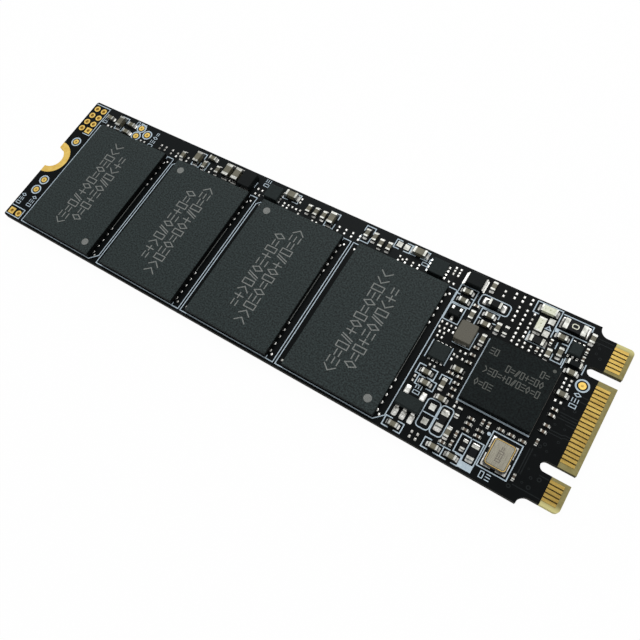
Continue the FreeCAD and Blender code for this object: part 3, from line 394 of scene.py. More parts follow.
def grainy(
    name, first, second, grain, relief, roughness, specular=0.5, metallic=0.0, stretch=(1.0, 1.0, 1.0),
    spread=0.2, wall=None,
):
    """A finish of two mixed colours with a fine relief, and painted shade on the side walls if a wall colour
    is given.

    The grain and the relief are in millimetres. A smaller spread parts the two colours more sharply.
    """
    material, tree = begin_finish(name)
    coords = add_node(tree, "TexCoord")
    mapped = add_node(tree, "Mapping", {"Scale": stretch}, {"Vector": coords.outputs["Object"]})
    speckle = {"Scale": 1 / (grain * MM), "Detail": 4.0, "Roughness": 0.6}
    noise = add_node(tree, "TexNoise", speckle, {"Vector": mapped})
    share = add_node(
        tree, "MapRange", {"From Min": 0.5 - spread, "From Max": 0.5 + spread}, {"Value": noise}
    )
    mix = add_node(tree, "Mix", {"data_type": "RGBA", 6: rgba(first), 7: rgba(second)}, {0: share})
    # The side walls take the wall colour as painted shade
    if wall:
        facing = add_node(tree, "SeparateXYZ", {}, {"Vector": coords.outputs["Normal"]})
        upper = add_node(tree, "Math", {"operation": "GREATER_THAN", 1: FLAT_FROM}, {0: facing.outputs["Z"]})
        mix = add_node(tree, "Mix", {"data_type": "RGBA", 6: rgba(wall)}, {0: upper, 7: mix})
    bump = add_node(tree, "Bump", {"Strength": 0.5, "Distance": relief * MM}, {"Height": noise})
    constants = {"Roughness": roughness, "Specular IOR Level": specular, "Metallic": metallic}
    end_finish(tree, constants, {"Base Color": mix, "Normal": bump})
    return material


def card_finish():
    """Black solder mask over glass-epoxy laminate: satin black faces, dark edges and a bare straw tongue."""
    material, tree = begin_finish("solder_mask_on_laminate")
    coords = add_node(tree, "TexCoord")
    spot = {"Vector": coords.outputs["Object"]}
    place = add_node(tree, "SeparateXYZ", {}, spot)
    facing = add_node(tree, "SeparateXYZ", {}, {"Vector": coords.outputs["Normal"]})
    level = add_node(tree, "Math", {"operation": "ABSOLUTE"}, {0: facing.outputs["Z"]})
    side = add_node(tree, "Math", {"operation": "LESS_THAN", 1: FLAT_FROM}, {0: level})
    tongue = add_node(tree, "Math", {"operation": "GREATER_THAN", 1: BARE_START}, {0: place.outputs["X"]})
    # The mask is lifted a shade in clouds, and most in the strip behind the memory packages, where the lift
    # is painted sheen
    strip_side = MEMORY_BOXES[0][1].y
    strip_end = MEMORY_BOXES[3][1].x
    behind = add_node(tree, "Math", {"operation": "GREATER_THAN", 1: strip_side}, {0: place.outputs["Y"]})
    before = add_node(tree, "Math", {"operation": "LESS_THAN", 1: strip_end}, {0: place.outputs["X"]})
    sheen_strip = add_node(tree, "Math", {"operation": "MULTIPLY"}, {0: behind, 1: before})
    upper = add_node(tree, "Math", {"operation": "GREATER_THAN", 1: FLAT_FROM}, {0: facing.outputs["Z"]})
    painted_sheen = add_node(tree, "Math", {"operation": "MULTIPLY"}, {0: sheen_strip, 1: upper})
    cloud = add_node(tree, "TexNoise", {"Scale": 1 / (1.5 * MM), "Detail": 3.0}, spot)
    tone = add_node(tree, "Math", {"operation": "MULTIPLY_ADD", 1: 0.35}, {0: cloud, 2: painted_sheen})
    mask = add_node(tree, "Mix", {"data_type": "RGBA", 6: rgba("mask"), 7: rgba("mask_pour_and_sheen")}, {0: tone})
    # The bare tongue is dull and woven, and pale at the rims of its outer sides
    weave = add_node(tree, "TexNoise", {"Scale": 1 / (0.3 * MM), "Detail": 2.0}, spot)
    laminate = add_node(
        tree, "Mix", {"data_type": "RGBA", 6: rgba("laminate"), 7: rgba("laminate_pale")}, {0: weave}
    )
    across = add_node(tree, "Math", {"operation": "ABSOLUTE"}, {0: place.outputs["Y"]})
    rim = add_node(
        tree, "MapRange",
        {"From Min": TONGUE_SIDE - LIT_RIM, "From Max": TONGUE_SIDE - LIT_RIM / 4}, {"Value": across},
    )
    pale = {"data_type": "RGBA", 7: rgba("laminate_lit")}
    lit = add_node(tree, "Mix", pale, {0: rim, 6: laminate})
    faces = add_node(tree, "Mix", {"data_type": "RGBA"}, {0: tongue, 6: mask, 7: lit})
    # Glass cloth shows in the sawn edge as plies, drawn 0.24 mm thick so that they show, and the edge's tone
    # is darkened partly as painted shade
    ply = 0.24 * MM
    unit_band = 0.31
    plies = add_node(
        tree, "TexWave",
        {"bands_direction": "Z", "Scale": unit_band / ply, "Distortion": 2.0, "Detail": 2.0}, spot,
    )
    edge = add_node(
        tree, "Mix", {"data_type": "RGBA", 6: rgba("edge"), 7: rgba("edge_pale")},
        {0: plies.outputs["Fac"]},
    )
    lit_edge = add_node(tree, "Mix", pale, {0: rim, 6: edge})
    sawn = add_node(tree, "Mix", {"data_type": "RGBA", 6: rgba("long_edge")}, {0: tongue, 7: lit_edge})
    skin = add_node(tree, "Mix", {"data_type": "RGBA"}, {0: side, 6: faces, 7: sawn})
    # The mask is satin, and the tongue and all edges are duller
    bare = add_node(tree, "Math", {"operation": "MAXIMUM"}, {0: side, 1: tongue})
    rough = add_node(tree, "Math", {"operation": "MULTIPLY_ADD", 1: 0.25, 2: 0.36}, {0: bare})
    ripple = add_node(tree, "TexNoise", {"Scale": 1 / (0.35 * MM), "Detail": 2.0}, spot)
    bump = add_node(tree, "Bump", {"Strength": 0.25, "Distance": 0.01 * MM}, {"Height": ripple})
    links = {"Base Color": skin, "Roughness": rough, "Normal": bump}
    end_finish(tree, {"Specular IOR Level": 0.03}, links)
    return material


def make_finishes():
    """All the finishes by their plain names."""
    return {
        "card": card_finish(),
        # Plated gold: soft shine with slightly deeper patches
        "gold": grainy("gold_plating", "gold_deep", "gold", 0.5, 0.004, roughness=0.55, metallic=1.0),
        # Hard gold on nickel: duller than the soft gold, wiped along the card
        "contact": grainy(
            "hard_gold_contacts", "contact_deep", "contact", 0.4, 0.003, roughness=0.36, metallic=1.0,
            stretch=(0.2, 1.0, 1.0),
        ),
        # Dipped tin on the chips' ends: dull and a little grainy
        "end": grainy(
            "dipped_tin", "end_grey", "end_tin", 0.6, 0.012, roughness=0.42, metallic=1.0, spread=0.18
        ),
        # Reflowed tin: bright, lumpy and a little uneven
        "tin": grainy(
            "reflowed_tin", "tin_grey", "tin", 0.8, 0.02, roughness=0.28, metallic=1.0, spread=0.17
        ),
        # Solder on the rectifier's tabs, with a painted reflection: bright at one end of the part and dull
        # at the other
        "tab": grainy(
            "tab_solder_painted_reflection", "tin_grey", "tin", 5.0, 0.01, roughness=0.4, metallic=1.0, stretch=(1.0, 0.0, 0.0),
            spread=0.1,
        ),
        # Solder wiped thin on broad pads: greyer and softer than a fillet
        "dull_tin": grainy("thin_solder", "dull_grey", "dull_tin", 0.7, 0.03, roughness=0.48, metallic=1.0),
        # Transfer-moulded epoxy: matt with pale filler grains, drawn coarse enough to show, and painted
        # shade on its side walls
        "moulding": grainy(
            "epoxy_moulding", "moulding", "moulding_speck", 0.2, 0.012, roughness=0.6, specular=0.12,
            spread=0.12, wall="moulding_wall_shade",
        ),
        # The controller's epoxy: the same grain, darker, and painted shade on its side walls
        "controller_moulding": grainy(
            "dark_epoxy_moulding", "mask", "controller_speck", 0.2, 0.012, roughness=0.6, specular=0.06,
            spread=0.14, wall="moulding_wall_shade",
        ),
        # Fine epoxy of the small chips: almost black, with little sheen
        "small_moulding": grainy(
            "fine_epoxy_moulding", "small_moulding", "moulding", 0.15, 0.008, roughness=0.55, specular=0.06
        ),
        # Greyer epoxy: matt, worn a shade lighter
        "grey_moulding": grainy(
            "grey_epoxy_moulding", "grey_moulding", "grey_speck", 0.15, 0.008, roughness=0.6, specular=0.06
        ),
        # Screen-printed ink: matt, thinner in places
        "ink": grainy("screen_print_ink", "ink_worn", "ink", 0.3, 0.004, roughness=0.65),
        # Print in painted shade: the ink is mixed towards the black mask
        "ink_in_painted_shade": grainy("print_ink_in_painted_shade", "mask_pour_and_sheen", "laser_faint", 0.3, 0.004, roughness=0.65),
        # Laser-burnt epoxy: greyed, matt and grainy
        "laser": grainy("laser_burnt_epoxy", "moulding_speck", "laser", 0.06, 0.004, roughness=0.75),
        # A light pass of the laser: a shade paler than the epoxy round it
        "faint_laser": grainy(
            "faint_laser_mark", "moulding_speck", "laser_faint", 0.06, 0.004, roughness=0.7
        ),
        # Fired ceramic: matt, its brown differs from chip to chip
        "ceramic": grainy(
            "fired_capacitor_ceramic", "ceramic_dark", "ceramic", 2.2, 0.01, roughness=0.5, specular=0.4
        ),
        # Ceramic of the tiny chips: from brown to nearly black
        "tiny": grainy("tiny_chip_ceramic", "tiny_dark", "tiny", 1.6, 0.006, roughness=0.5, specular=0.3),
        # Black glaze over the resistor film: smooth, with little sheen
        "glaze": grainy(
            "glazed_resistor", "glaze", "small_moulding", 0.2, 0.004, roughness=0.35, specular=0.07
        ),
        # Pressed iron powder: warm grey, matt and sandy
        "iron": grainy("pressed_iron_powder", "iron_dark", "iron", 0.12, 0.012, roughness=0.6, specular=0.4),
        # Sintered ferrite: black and matt, with a fine grain
        "ferrite": grainy("black_ferrite", "ferrite", "moulding", 0.1, 0.008, roughness=0.5, specular=0.06),
        # Cast resin: pale, smooth and slightly yellow
        "resin": grainy("cast_resin", "resin_warm", "resin", 0.35, 0.004, roughness=0.3),
        # Rolled nickel lid: fine brush lines along its length
        "lid": grainy(
            "rolled_nickel", "lid_grey", "lid", 0.08, 0.004, roughness=0.42, metallic=1.0,
            stretch=(1.0, 0.1, 1.0),
        ),
        # Gold alloy seam: dull where it has flowed
        "seam": grainy("gold_alloy_seam", "seam_dark", "seam", 0.3, 0.004, roughness=0.4, metallic=1.0),
        # Nickel burnt by the laser: duller and browner than the lid
        "lid_mark": grainy("lid_laser_mark", "lid_grey", "lid_mark", 0.1, 0.003, roughness=0.6),
        # Diode dies under the resin: small and dull
        "die": grainy("diode_die", "die", "resin_warm", 0.1, 0.003, roughness=0.5),
        # Mask over a track: the same black, lifted a shade by the copper under it
        "track": grainy("masked_track", "mask_pour_and_sheen", "track", 0.3, 0.003, roughness=0.4, specular=0.05),
        # Painted shade in the narrow gaps between the contacts, over the stained laminate: dark and matt
        "gap": grainy("painted_gap_shade", "gap_deep_shade", "gap", 0.3, 0.003, roughness=0.6, specular=0.05),
        # Dark alumina of the crystal's base: brown and matt
        "crystal_ceramic": grainy("dark_alumina", "crystal_ceramic", "ferrite", 0.15, 0.004, roughness=0.5),
    }


def finish(name):
    """One finish, made with the rest the first time that any is asked for."""
    if not FINISHES:
        FINISHES.update(make_finishes())
    return FINISHES[name]


FINISHES = {}


def paint(nodes, name):
    """Give CAD nodes a finish."""
    for node in nodes:
        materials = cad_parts[node].data.materials
        materials.clear()
        materials.append(finish(name))


def deselect():
    """Leave nothing selected."""
    if bpy.context.mode != "OBJECT":
        bpy.ops.object.mode_set(mode="OBJECT")
    bpy.ops.object.select_all(action="DESELECT")


def pick(piece, test):
    """In edit mode, select the vertices whose place passes a test."""
    bpy.ops.object.mode_set(mode="OBJECT")
    mesh = piece.data
    for part in (mesh.edges, mesh.polygons):
        for item in part:
            item.select = False
    for vertex in mesh.vertices:
        vertex.select = test(vertex.co)
    bpy.context.tool_settings.mesh_select_mode = (True, False, False)
    bpy.ops.object.mode_set(mode="EDIT")


def start_master(add, **settings):
    """Add a primitive by itself and enter edit mode."""
    deselect()
    add(**settings)
    bpy.ops.object.mode_set(mode="EDIT")


def raise_face(height):
    """Extrude the selected face upwards."""
    bpy.ops.mesh.extrude_region_move(TRANSFORM_OT_translate={"value": (0.0, 0.0, height)})


def close_master():
    """Point a master's faces outwards and leave edit mode."""
    bpy.ops.mesh.select_all(action="SELECT")
    bpy.ops.mesh.normals_make_consistent(inside=False)
    bpy.ops.object.mode_set(mode="OBJECT")
    return bpy.context.object


def close_rim(width, height):
    """Cut the middle out of a flat master, raise the rim that is left and close it."""
    bpy.ops.mesh.inset(thickness=width)
    bpy.ops.mesh.delete(type="FACE")
    bpy.ops.mesh.select_all(action="SELECT")
    raise_face(height)
    return close_master()


def bar_master():
    """A unit bar of ink, standing on its lower face."""
    start_master(bpy.ops.mesh.primitive_plane_add, size=1.0)
    raise_face(1.0)
    return close_master()


def pad_master():
    """A unit pad with round corners and a crowned top."""
    start_master(bpy.ops.mesh.primitive_plane_add, size=1.0)
    bpy.ops.mesh.bevel(offset=0.2, segments=3, affect="VERTICES")
    raise_face(0.55)
    bpy.ops.mesh.inset(thickness=0.12, depth=0.3)
    bpy.ops.mesh.inset(thickness=0.12, depth=0.15)
    return close_master()


def dot_master():
    """A round pad of unit radius with a crowned top."""
    start_master(bpy.ops.mesh.primitive_circle_add, vertices=20, radius=1.0, fill_type="NGON")
    raise_face(0.7)
    bpy.ops.mesh.inset(thickness=0.18, depth=0.2)
    bpy.ops.mesh.inset(thickness=0.3, depth=0.1)
    return close_master()


def land_master(inner_share):
    """A square land of unit width with a square hole."""
    start_master(bpy.ops.mesh.primitive_plane_add, size=1.0)
    return close_rim((1.0 - inner_share) / 2, 1.0)


def ring_master(inner_share):
    """A flat ring of unit outer radius."""
    start_master(bpy.ops.mesh.primitive_circle_add, vertices=40, radius=1.0, fill_type="NGON")
    return close_rim(1.0 - inner_share, 1.0)


def fillet_master():
    """A unit solder fillet: full height at the chip, hollowed and narrowing towards its toe."""
    # Place along the fillet and how far its top drops there
    steps = ((0.3, 0.5), (0.65, 0.72), (1.0, 0.85))
    toe_share = 0.8
    deselect()
    bpy.ops.mesh.primitive_cube_add(size=1.0, location=(0.5, 0.0, 0.5))
    bpy.ops.object.transform_apply(location=True)
    piece = bpy.context.object
    for cut, _ in steps[:-1]:
        bpy.ops.object.mode_set(mode="EDIT")
        bpy.ops.mesh.select_all(action="SELECT")
        bpy.ops.mesh.bisect(plane_co=(cut, 0.0, 0.0), plane_no=(1.0, 0.0, 0.0))
    for along, drop in steps:
        pick(piece, lambda place: abs(place.x - along) < 0.01 and place.z > 0.9)
        bpy.ops.transform.translate(value=(0.0, 0.0, -drop))
    pick(piece, lambda place: place.x > 0.99)
    bpy.ops.transform.resize(value=(1.0, toe_share, 1.0), center_override=(1.0, 0.0, 0.0))
    return close_master()


def stamp(master, name, places):
    """Copies of a master, each with its own mesh, joined as one piece."""
    deselect()
    for place in places:
        mesh = master.data.copy()
        mesh.transform(place)
        copy = bpy.data.objects.new(name, mesh)
        bpy.context.scene.collection.objects.link(copy)
        copy.select_set(True)
        bpy.context.view_layer.objects.active = copy
    bpy.ops.object.join()
    bpy.data.objects.remove(master)
    piece = bpy.context.view_layer.objects.active
    piece.name = name
    piece.data.name = name
    return piece


def dress(piece, finish_name):
    """Give a new piece its finish and its body."""
    piece.data.materials.clear()
    piece.data.materials.append(finish(finish_name))
    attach(piece, "root")


def upright(x, y, z, turn, scale):
    """The place of a copy: turned about the upright axis and scaled, with its foot at a point."""
    return Matrix.Translation((x, y, z)) @ Matrix.Rotation(turn, 4, "Z") @ Matrix.Diagonal((*scale, 1.0))


def disc(x, y, level, radius, height):
    """The place of a round copy."""
    return upright(x, y, level, 0.0, (radius, radius, height))


def patch(low_x, high_x, low_y, high_y, height):
    """The place of a copy that fills a box on the card, given in millimetres."""
    middle = ((low_x + high_x) / 2 * MM, (low_y + high_y) / 2 * MM)
    return upright(*middle, TOP, 0.0, ((high_x - low_x) * MM, (high_y - low_y) * MM, height))


def bars_along(runs, width, height, level):
    """Places of the bars that draw runs of points, in metres."""
    places = []
    for run in runs:
        for (x, y), (next_x, next_y) in zip(run, run[1:]):
            reach = math.hypot(next_x - x, next_y - y)
            turn = math.atan2(next_y - y, next_x - x)
            middle = ((x + next_x) / 2, (y + next_y) / 2)
            step = 1 + BAR_LIFT * (len(places) % BAR_LEVELS)
            places.append(upright(*middle, level, turn, (reach + width, width, height * step)))
    return places


def scaled(runs):
    """Runs of points given in millimetres, in metres."""
    return [[(x * MM, y * MM) for x, y in run] for run in runs]


def open_box(low_x, high_x, low_y, high_y, gap_along):
    """A printed box with a gap in the middle of the two sides that run along an axis."""
    if gap_along == "y":
        third = (high_y - low_y) / 3
        return [
            ((low_x, low_y + third), (low_x, low_y), (high_x, low_y), (high_x, low_y + third)),
            ((low_x, high_y - third), (low_x, high_y), (high_x, high_y), (high_x, high_y - third)),
        ]
    third = (high_x - low_x) / 3
    return [
        ((low_x + third, low_y), (low_x, low_y), (low_x, high_y), (low_x + third, high_y)),
        ((high_x - third, low_y), (high_x, low_y), (high_x, high_y), (high_x - third, high_y)),
    ]


def round_box(low_x, high_x, low_y, high_y, radius=0.4, steps=4):
    """A printed box with round corners."""
    run = []
    for corner, (x, y) in enumerate(
        (
            (high_x - radius, high_y - radius), (low_x + radius, high_y - radius),
            (low_x + radius, low_y + radius), (high_x - radius, low_y + radius),
        )
    ):
        for step in range(steps + 1):
            turn = math.pi / 2 * (corner + step / steps)
            run.append((x + radius * math.cos(turn), y + radius * math.sin(turn)))
    return [run + run[:1]]


def sign_runs(signs, middle, turn, width, height, pitch):
    """Runs that draw a row of signs, centred on a point and turned."""
    start = -(len(signs) - 1) * pitch / 2
    across = Vector((math.cos(turn), math.sin(turn)))
    upward = Vector((-math.sin(turn), math.cos(turn)))
    runs = []
    for index, sign in enumerate(signs):
        cell = Vector(middle) + across * (start + index * pitch)
        for run in SIGNS[sign]:
            runs.append([cell + across * (x - 0.5) * width + upward * (y - 0.5) * height for x, y in run])
    return runs


def solids(node):
    """Lowest and highest corners of each solid in a CAD node."""
    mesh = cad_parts[node].data
    owner = {}

    def top_of(key):
        while owner[key] != key:
            key = owner[key]
        return key

    keys = [tuple(round(c / MERGE) for c in vertex.co) for vertex in mesh.vertices]
    for key in keys:
        owner[key] = key
    for polygon in mesh.polygons:
        first = top_of(keys[polygon.vertices[0]])
        for index in polygon.vertices[1:]:
            owner[top_of(keys[index])] = first
    corners = {}
    for key, vertex in zip(keys, mesh.vertices):
        corners.setdefault(top_of(key), []).append(vertex.co)
    return [
        tuple(Vector(pick_end(c[i] for c in group) for i in range(3)) for pick_end in (min, max))
        for group in corners.values()
    ]


class DRIVE_OT_card(bpy.types.Operator):
    """Finish the card, its contacts and its plating"""

    bl_idname = "drive.card"
    bl_label = "Card and plating"

    def execute(self, context):
        paint(["circuit_board"], "card")
        paint(["attachment_ring", "header_plating", "test_pads"], "gold")
        paint(["edge_contacts_upper", "edge_contacts_lower"], "contact")
        self.square_lands()
        for face in ("upper", "lower"):
            self.contact_gap_shade(face)
        return {"FINISHED"}

    def square_lands(self):
        """Square lands that cover the round ones of two header holes."""
        width = 0.96 * MM
        hole_share = 0.52
        cover = 0.01 * MM
        holes = [(low + high) / 2 for low, high in solids("header_plating")]
        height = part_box("header_plating")[1].z - TOP + cover
        places = []
        for x, y in SQUARE_LANDS:
            spot = min(holes, key=lambda hole: math.hypot(hole.x - x * MM, hole.y - y * MM))
            places.append(upright(spot.x, spot.y, TOP, 0.0, (width, width, height)))
        dress(stamp(land_master(hole_share), "square_lands", places), "gold")

    def contact_gap_shade(self, face):
        """Dark strips of painted shade between neighbouring contacts. A wider gap is a notch."""
        notch_from = 0.3 * MM
        gap_share = 0.9
        height = 0.004 * MM
        low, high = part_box(f"edge_contacts_{face}")
        level = low.z if face == "upper" else high.z - height
        rows = sorted(solids(f"edge_contacts_{face}"), key=lambda box: box[0].y)
        places = []
        for (low, high), (next_low, _) in zip(rows, rows[1:]):
            gap = next_low.y - high.y
            if gap < notch_from:
                middle = ((low.x + high.x) / 2, (high.y + next_low.y) / 2)
                places.append(upright(*middle, level, 0.0, (high.x - low.x, gap_share * gap, height)))
        # The gaps are drawn as dark strips of painted shade
        dress(stamp(bar_master(), f"contact_gap_shade_{face}", places), "gap")


class DRIVE_OT_packages(bpy.types.Operator):
    """Finish the moulded packages, the inductors and their metal"""

    bl_idname = "drive.packages"
    bl_label = "Packages and inductors"

    def execute(self, context):
        paint(MEMORIES, "moulding")
        paint(["controller_chip"], "controller_moulding")
        paint(["rectifier_body", "transistor_body"], "small_moulding")
        leadless = [f"leadless_chip_{number}" for number in range(1, 4)]
        paint(["regulator_body", "logic_body", *leadless], "grey_moulding")
        paint(["grey_inductor_core"], "iron")
        paint(["black_inductor_core"], "ferrite")
        metal = [
            "memory_solder_balls", "controller_solder_balls", "grey_inductor_terminals",
            "black_inductor_terminals", "regulator_leads", "transistor_leads", "logic_leads",
            "leadless_chip_pads", "crystal_pads",
        ]
        paint(metal, "tin")
        paint(["bare_solder_pads"], "dull_tin")
        # One tab bright and one dull: a painted reflection
        paint(["rectifier_tabs"], "tab")
        return {"FINISHED"}


class DRIVE_OT_chips(bpy.types.Operator):
    """Finish the two-ended chips and solder their ends"""

    bl_idname = "drive.chips"
    bl_label = "Two-ended chips"

    def execute(self, context):
        finishes = {
            "medium_resistor": "glaze", "small_resistor": "glaze", "zero_ohm_link": "glaze",
            "indicator_led": "resin", "ferrite_bead": "ferrite", "clamp_diode": "small_moulding",
            "tiny_passive": "tiny",
        }
        for kind, reach in SOLDER_REACH.items():
            paint([f"{kind}_bodies"], finishes.get(kind, "ceramic"))
            paint([f"{kind}_ends"], "end")
            dress(stamp(fillet_master(), f"{kind}_solder", self.fillets(kind, reach)), "tin")
        self.diode_dies()
        self.link_ring()
        return {"FINISHED"}

    def diode_dies(self):
        """Small dies and bond spots that show through the resin of the light emitting diodes."""
        # Place along the diode and radius, in mm
        spots = ((-0.45, 0.06), (0.1, 0.09), (0.5, 0.05))
        height = 0.01 * MM
        places = []
        for low, high in solids("indicator_led_bodies"):
            middle = (low + high) / 2
            along = Vector((1, 0)) if high.x - low.x > high.y - low.y else Vector((0, 1))
            for step, radius in spots:
                spot = Vector((middle.x, middle.y)) + along * step * MM
                places.append(disc(spot.x, spot.y, high.z, radius * MM, height))
        dress(stamp(dot_master(), "diode_dies", places), "die")

    def link_ring(self):
        """The ring printed on the zero-ohm link."""
        line = 0.1 * MM
        height = 0.01 * MM
        low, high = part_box("zero_ohm_link_bodies")
        middle = (low + high) / 2
        ring = round_box(-0.33, 0.33, -0.22, 0.28, radius=0.2)[0]
        run = [(middle.x + x * MM, middle.y + y * MM) for x, y in ring]
        dress(stamp(bar_master(), "link_ring", bars_along([run], line, height, high.z)), "resin")

    def fillets(self, kind, reach):
        """Places of the solder at the ends of all the chips of a kind."""
        height_share = 0.7
        middles = [(low + high) / 2 for low, high in solids(f"{kind}_bodies")]
        places = []
        for low, high in solids(f"{kind}_ends"):
            middle = (low + high) / 2
            body = min(middles, key=lambda other: (other - middle).length)
            out = middle - body
            height = height_share * (high.z - low.z)
            if abs(out.x) > abs(out.y):
                foot = (high.x if out.x > 0 else low.x, middle.y)
                turn = 0.0 if out.x > 0 else math.pi
                width = high.y - low.y
            else:
                foot = (middle.x, high.y if out.y > 0 else low.y)
                turn = math.pi / 2 if out.y > 0 else -math.pi / 2
                width = high.x - low.x
            places.append(upright(*foot, TOP, turn, (reach * MM, width, height)))
        return places


class DRIVE_OT_pads(bpy.types.Operator):
    """Lay the bare pads between the parts and beside the memory packages"""

    bl_idname = "drive.pads"
    bl_label = "Bare pads"

    def execute(self, context):
        sizes = context.scene.drive_sizes
        scale = (sizes.pad_width, sizes.pad_length, sizes.pad_height)
        small = [
            upright(x * MM, y * MM, TOP, 0.0, scale)
            for columns, rows in PAD_BLOCKS for x in columns for y in rows
        ]
        dress(stamp(pad_master(), "bare_pads", small), "tin")
        broad = [patch(*box, sizes.pad_height) for box in BROAD_PADS]
        dress(stamp(pad_master(), "broad_pads", broad), "tin")
        dots = [dot for low, high in MEMORY_BOXES for dot in self.side_dots(sizes, low, high)]
        dress(stamp(dot_master(), "memory_edge_pads", dots), "tin")
        return {"FINISHED"}

    def side_dots(self, sizes, low, high):
        """Places of the round pads at both sides of a memory package, with smaller ones off its corners."""
        corner_gap = 0.42 * MM
        corner_radius = 0.8 * sizes.edge_pad_radius
        middle = (low + high) / 2
        groups = (
            ((low.x, high.x), EDGE_PAD_STEPS, sizes.edge_pad_radius),
            ((low.x - corner_gap, high.x + corner_gap), CORNER_DOT_STEPS, corner_radius),
        )
        return [
            disc(x, middle.y + step * MM, TOP, radius, sizes.pad_height)
            for sides, steps, radius in groups for x in sides for step in steps
        ]


class DRIVE_OT_print(bpy.types.Operator):
    """Print the white lines, rings and plain marks on the card"""

    bl_idname = "drive.print_card"
    bl_label = "Card print"

    def execute(self, context):
        sizes = context.scene.drive_sizes
        height = sizes.ink_height
        runs = [run for box in OPEN_BOXES_Y for run in open_box(*box, "y")]
        runs += [run for box in OPEN_BOXES_X for run in open_box(*box, "x")]
        runs += [run for box in ROUND_BOXES for run in round_box(*box)]
        runs += PRINT_RUNS
        for low_x, high_x, low_y, high_y in FULL_BOXES:
            runs.append(((low_x, low_y), (high_x, low_y), (high_x, high_y), (low_x, high_y), (low_x, low_y)))
        places = bars_along(scaled(runs), sizes.ink_line, height, TOP)
        places += bars_along(self.package_lines(sizes), sizes.thin_line, height, TOP)
        places += [patch(*box, height) for box in PRINT_PATCHES]
        for row in MARK_ROWS:
            places += bars_along(self.mark_row(*row), sizes.small_mark_line, height, TOP)
        dress(stamp(bar_master(), "card_print", places), "ink")
        # The line beside the controller is drawn in painted shade
        shaded = bars_along(scaled(SHADED_PRINT_RUNS), sizes.fine_line, height, TOP)
        dress(stamp(bar_master(), "print_in_painted_shade", shaded), "ink_in_painted_shade")
        dots = [disc(x * MM, y * MM, TOP, radius * MM, height) for x, y, radius in PRINT_DOTS]
        dress(stamp(dot_master(), "print_dots", dots), "ink")
        self.test_pads(sizes)
        return {"FINISHED"}

    def test_pads(self, sizes):
        """A dimple in each test pad and a printed ring round it."""
        dimple_radius = 0.16 * MM
        dimple_height = 0.006 * MM
        rings = []
        dimples = []
        for low, high in solids("test_pads"):
            middle = (low + high) / 2
            rings.append(disc(middle.x, middle.y, TOP, sizes.ring_outer, sizes.ink_height))
            dimples.append(disc(middle.x, middle.y, high.z, dimple_radius, dimple_height))
        dress(stamp(dot_master(), "test_pad_dimples", dimples), "contact")
        dress(stamp(ring_master(sizes.ring_inner / sizes.ring_outer), "test_pad_rings", rings), "ink")

    def mark_row(self, x, y, degrees, count):
        """Runs of a short row of plain marks that begins near a point."""
        reach = 0.8 * MM
        turn = math.radians(degrees)
        middle = Vector((x, y)) * MM + reach * Vector((math.cos(turn), math.sin(turn)))
        return sign_runs(MARK_SIGNS[:count], middle, turn, width=0.42 * MM, height=0.7 * MM, pitch=0.68 * MM)

    def package_lines(self, sizes):
        """Lines beside the memory packages, with the short returns at their ends."""
        far_gap = 0.15 * MM
        near_gap = 0.14 * MM
        hook = 1.1 * MM
        hook_drop = 0.35 * MM
        stub = 0.7 * MM
        corner = 1.0 * MM
        slant = 0.8 * MM
        tick = 0.4 * MM
        runs = []
        for number, (low, high) in enumerate(MEMORY_BOXES, start=1):
            middle = (low + high) / 2
            left = middle.x - sizes.package_line
            right = middle.x + sizes.package_line
            top = high.y + far_gap
            bottom = low.y - near_gap
            runs.append([(right - hook, top - hook_drop), (right - hook, top), (right, top)])
            if number in TURNED_MEMORIES:
                runs.append([(left + stub, top), (left, top), (left, bottom), (right - corner, bottom)])
                runs.append([(right - corner, bottom), (right, bottom + corner), (right, top)])
            else:
                runs.append([(right, top), (right, bottom), (left, bottom), (left, top - slant)])
                runs.append([(left, top - slant), (left + slant, top)])
                runs.append([(right - corner, bottom), (right - corner, bottom + tick)])
        return runs


class DRIVE_OT_tracks(bpy.types.Operator):
    """Raise the tracks and vias that show under the solder mask"""

    bl_idname = "drive.tracks"
    bl_label = "Tracks and vias"

    def execute(self, context):
        sizes = context.scene.drive_sizes
        height = sizes.trace_height
        places = bars_along(scaled(TRACK_RUNS), sizes.trace_width, height, TOP)
        dress(stamp(bar_master(), "masked_tracks", places), "track")
        self.edge_tracks(height)
        via_hole_share = 0.5
        rings = [disc(x * MM, y * MM, TOP, radius * MM, height) for x, y, radius in VIAS]
        dress(stamp(ring_master(via_hole_share), "masked_vias", rings), "track")
        return {"FINISHED"}

    def edge_tracks(self, height):
        """A track along one side of each memory package, as pale as the marks."""
        width = 0.1 * MM
        far_reach = 3.4 * MM
        near_reach = 3.6 * MM
        runs = []
        for low, high in MEMORY_BOXES:
            middle = (low.y + high.y) / 2
            runs.append(((high.x, middle + far_reach), (high.x, middle - near_reach)))
        dress(stamp(bar_master(), "edge_tracks", bars_along(runs, width, height, TOP)), "laser")


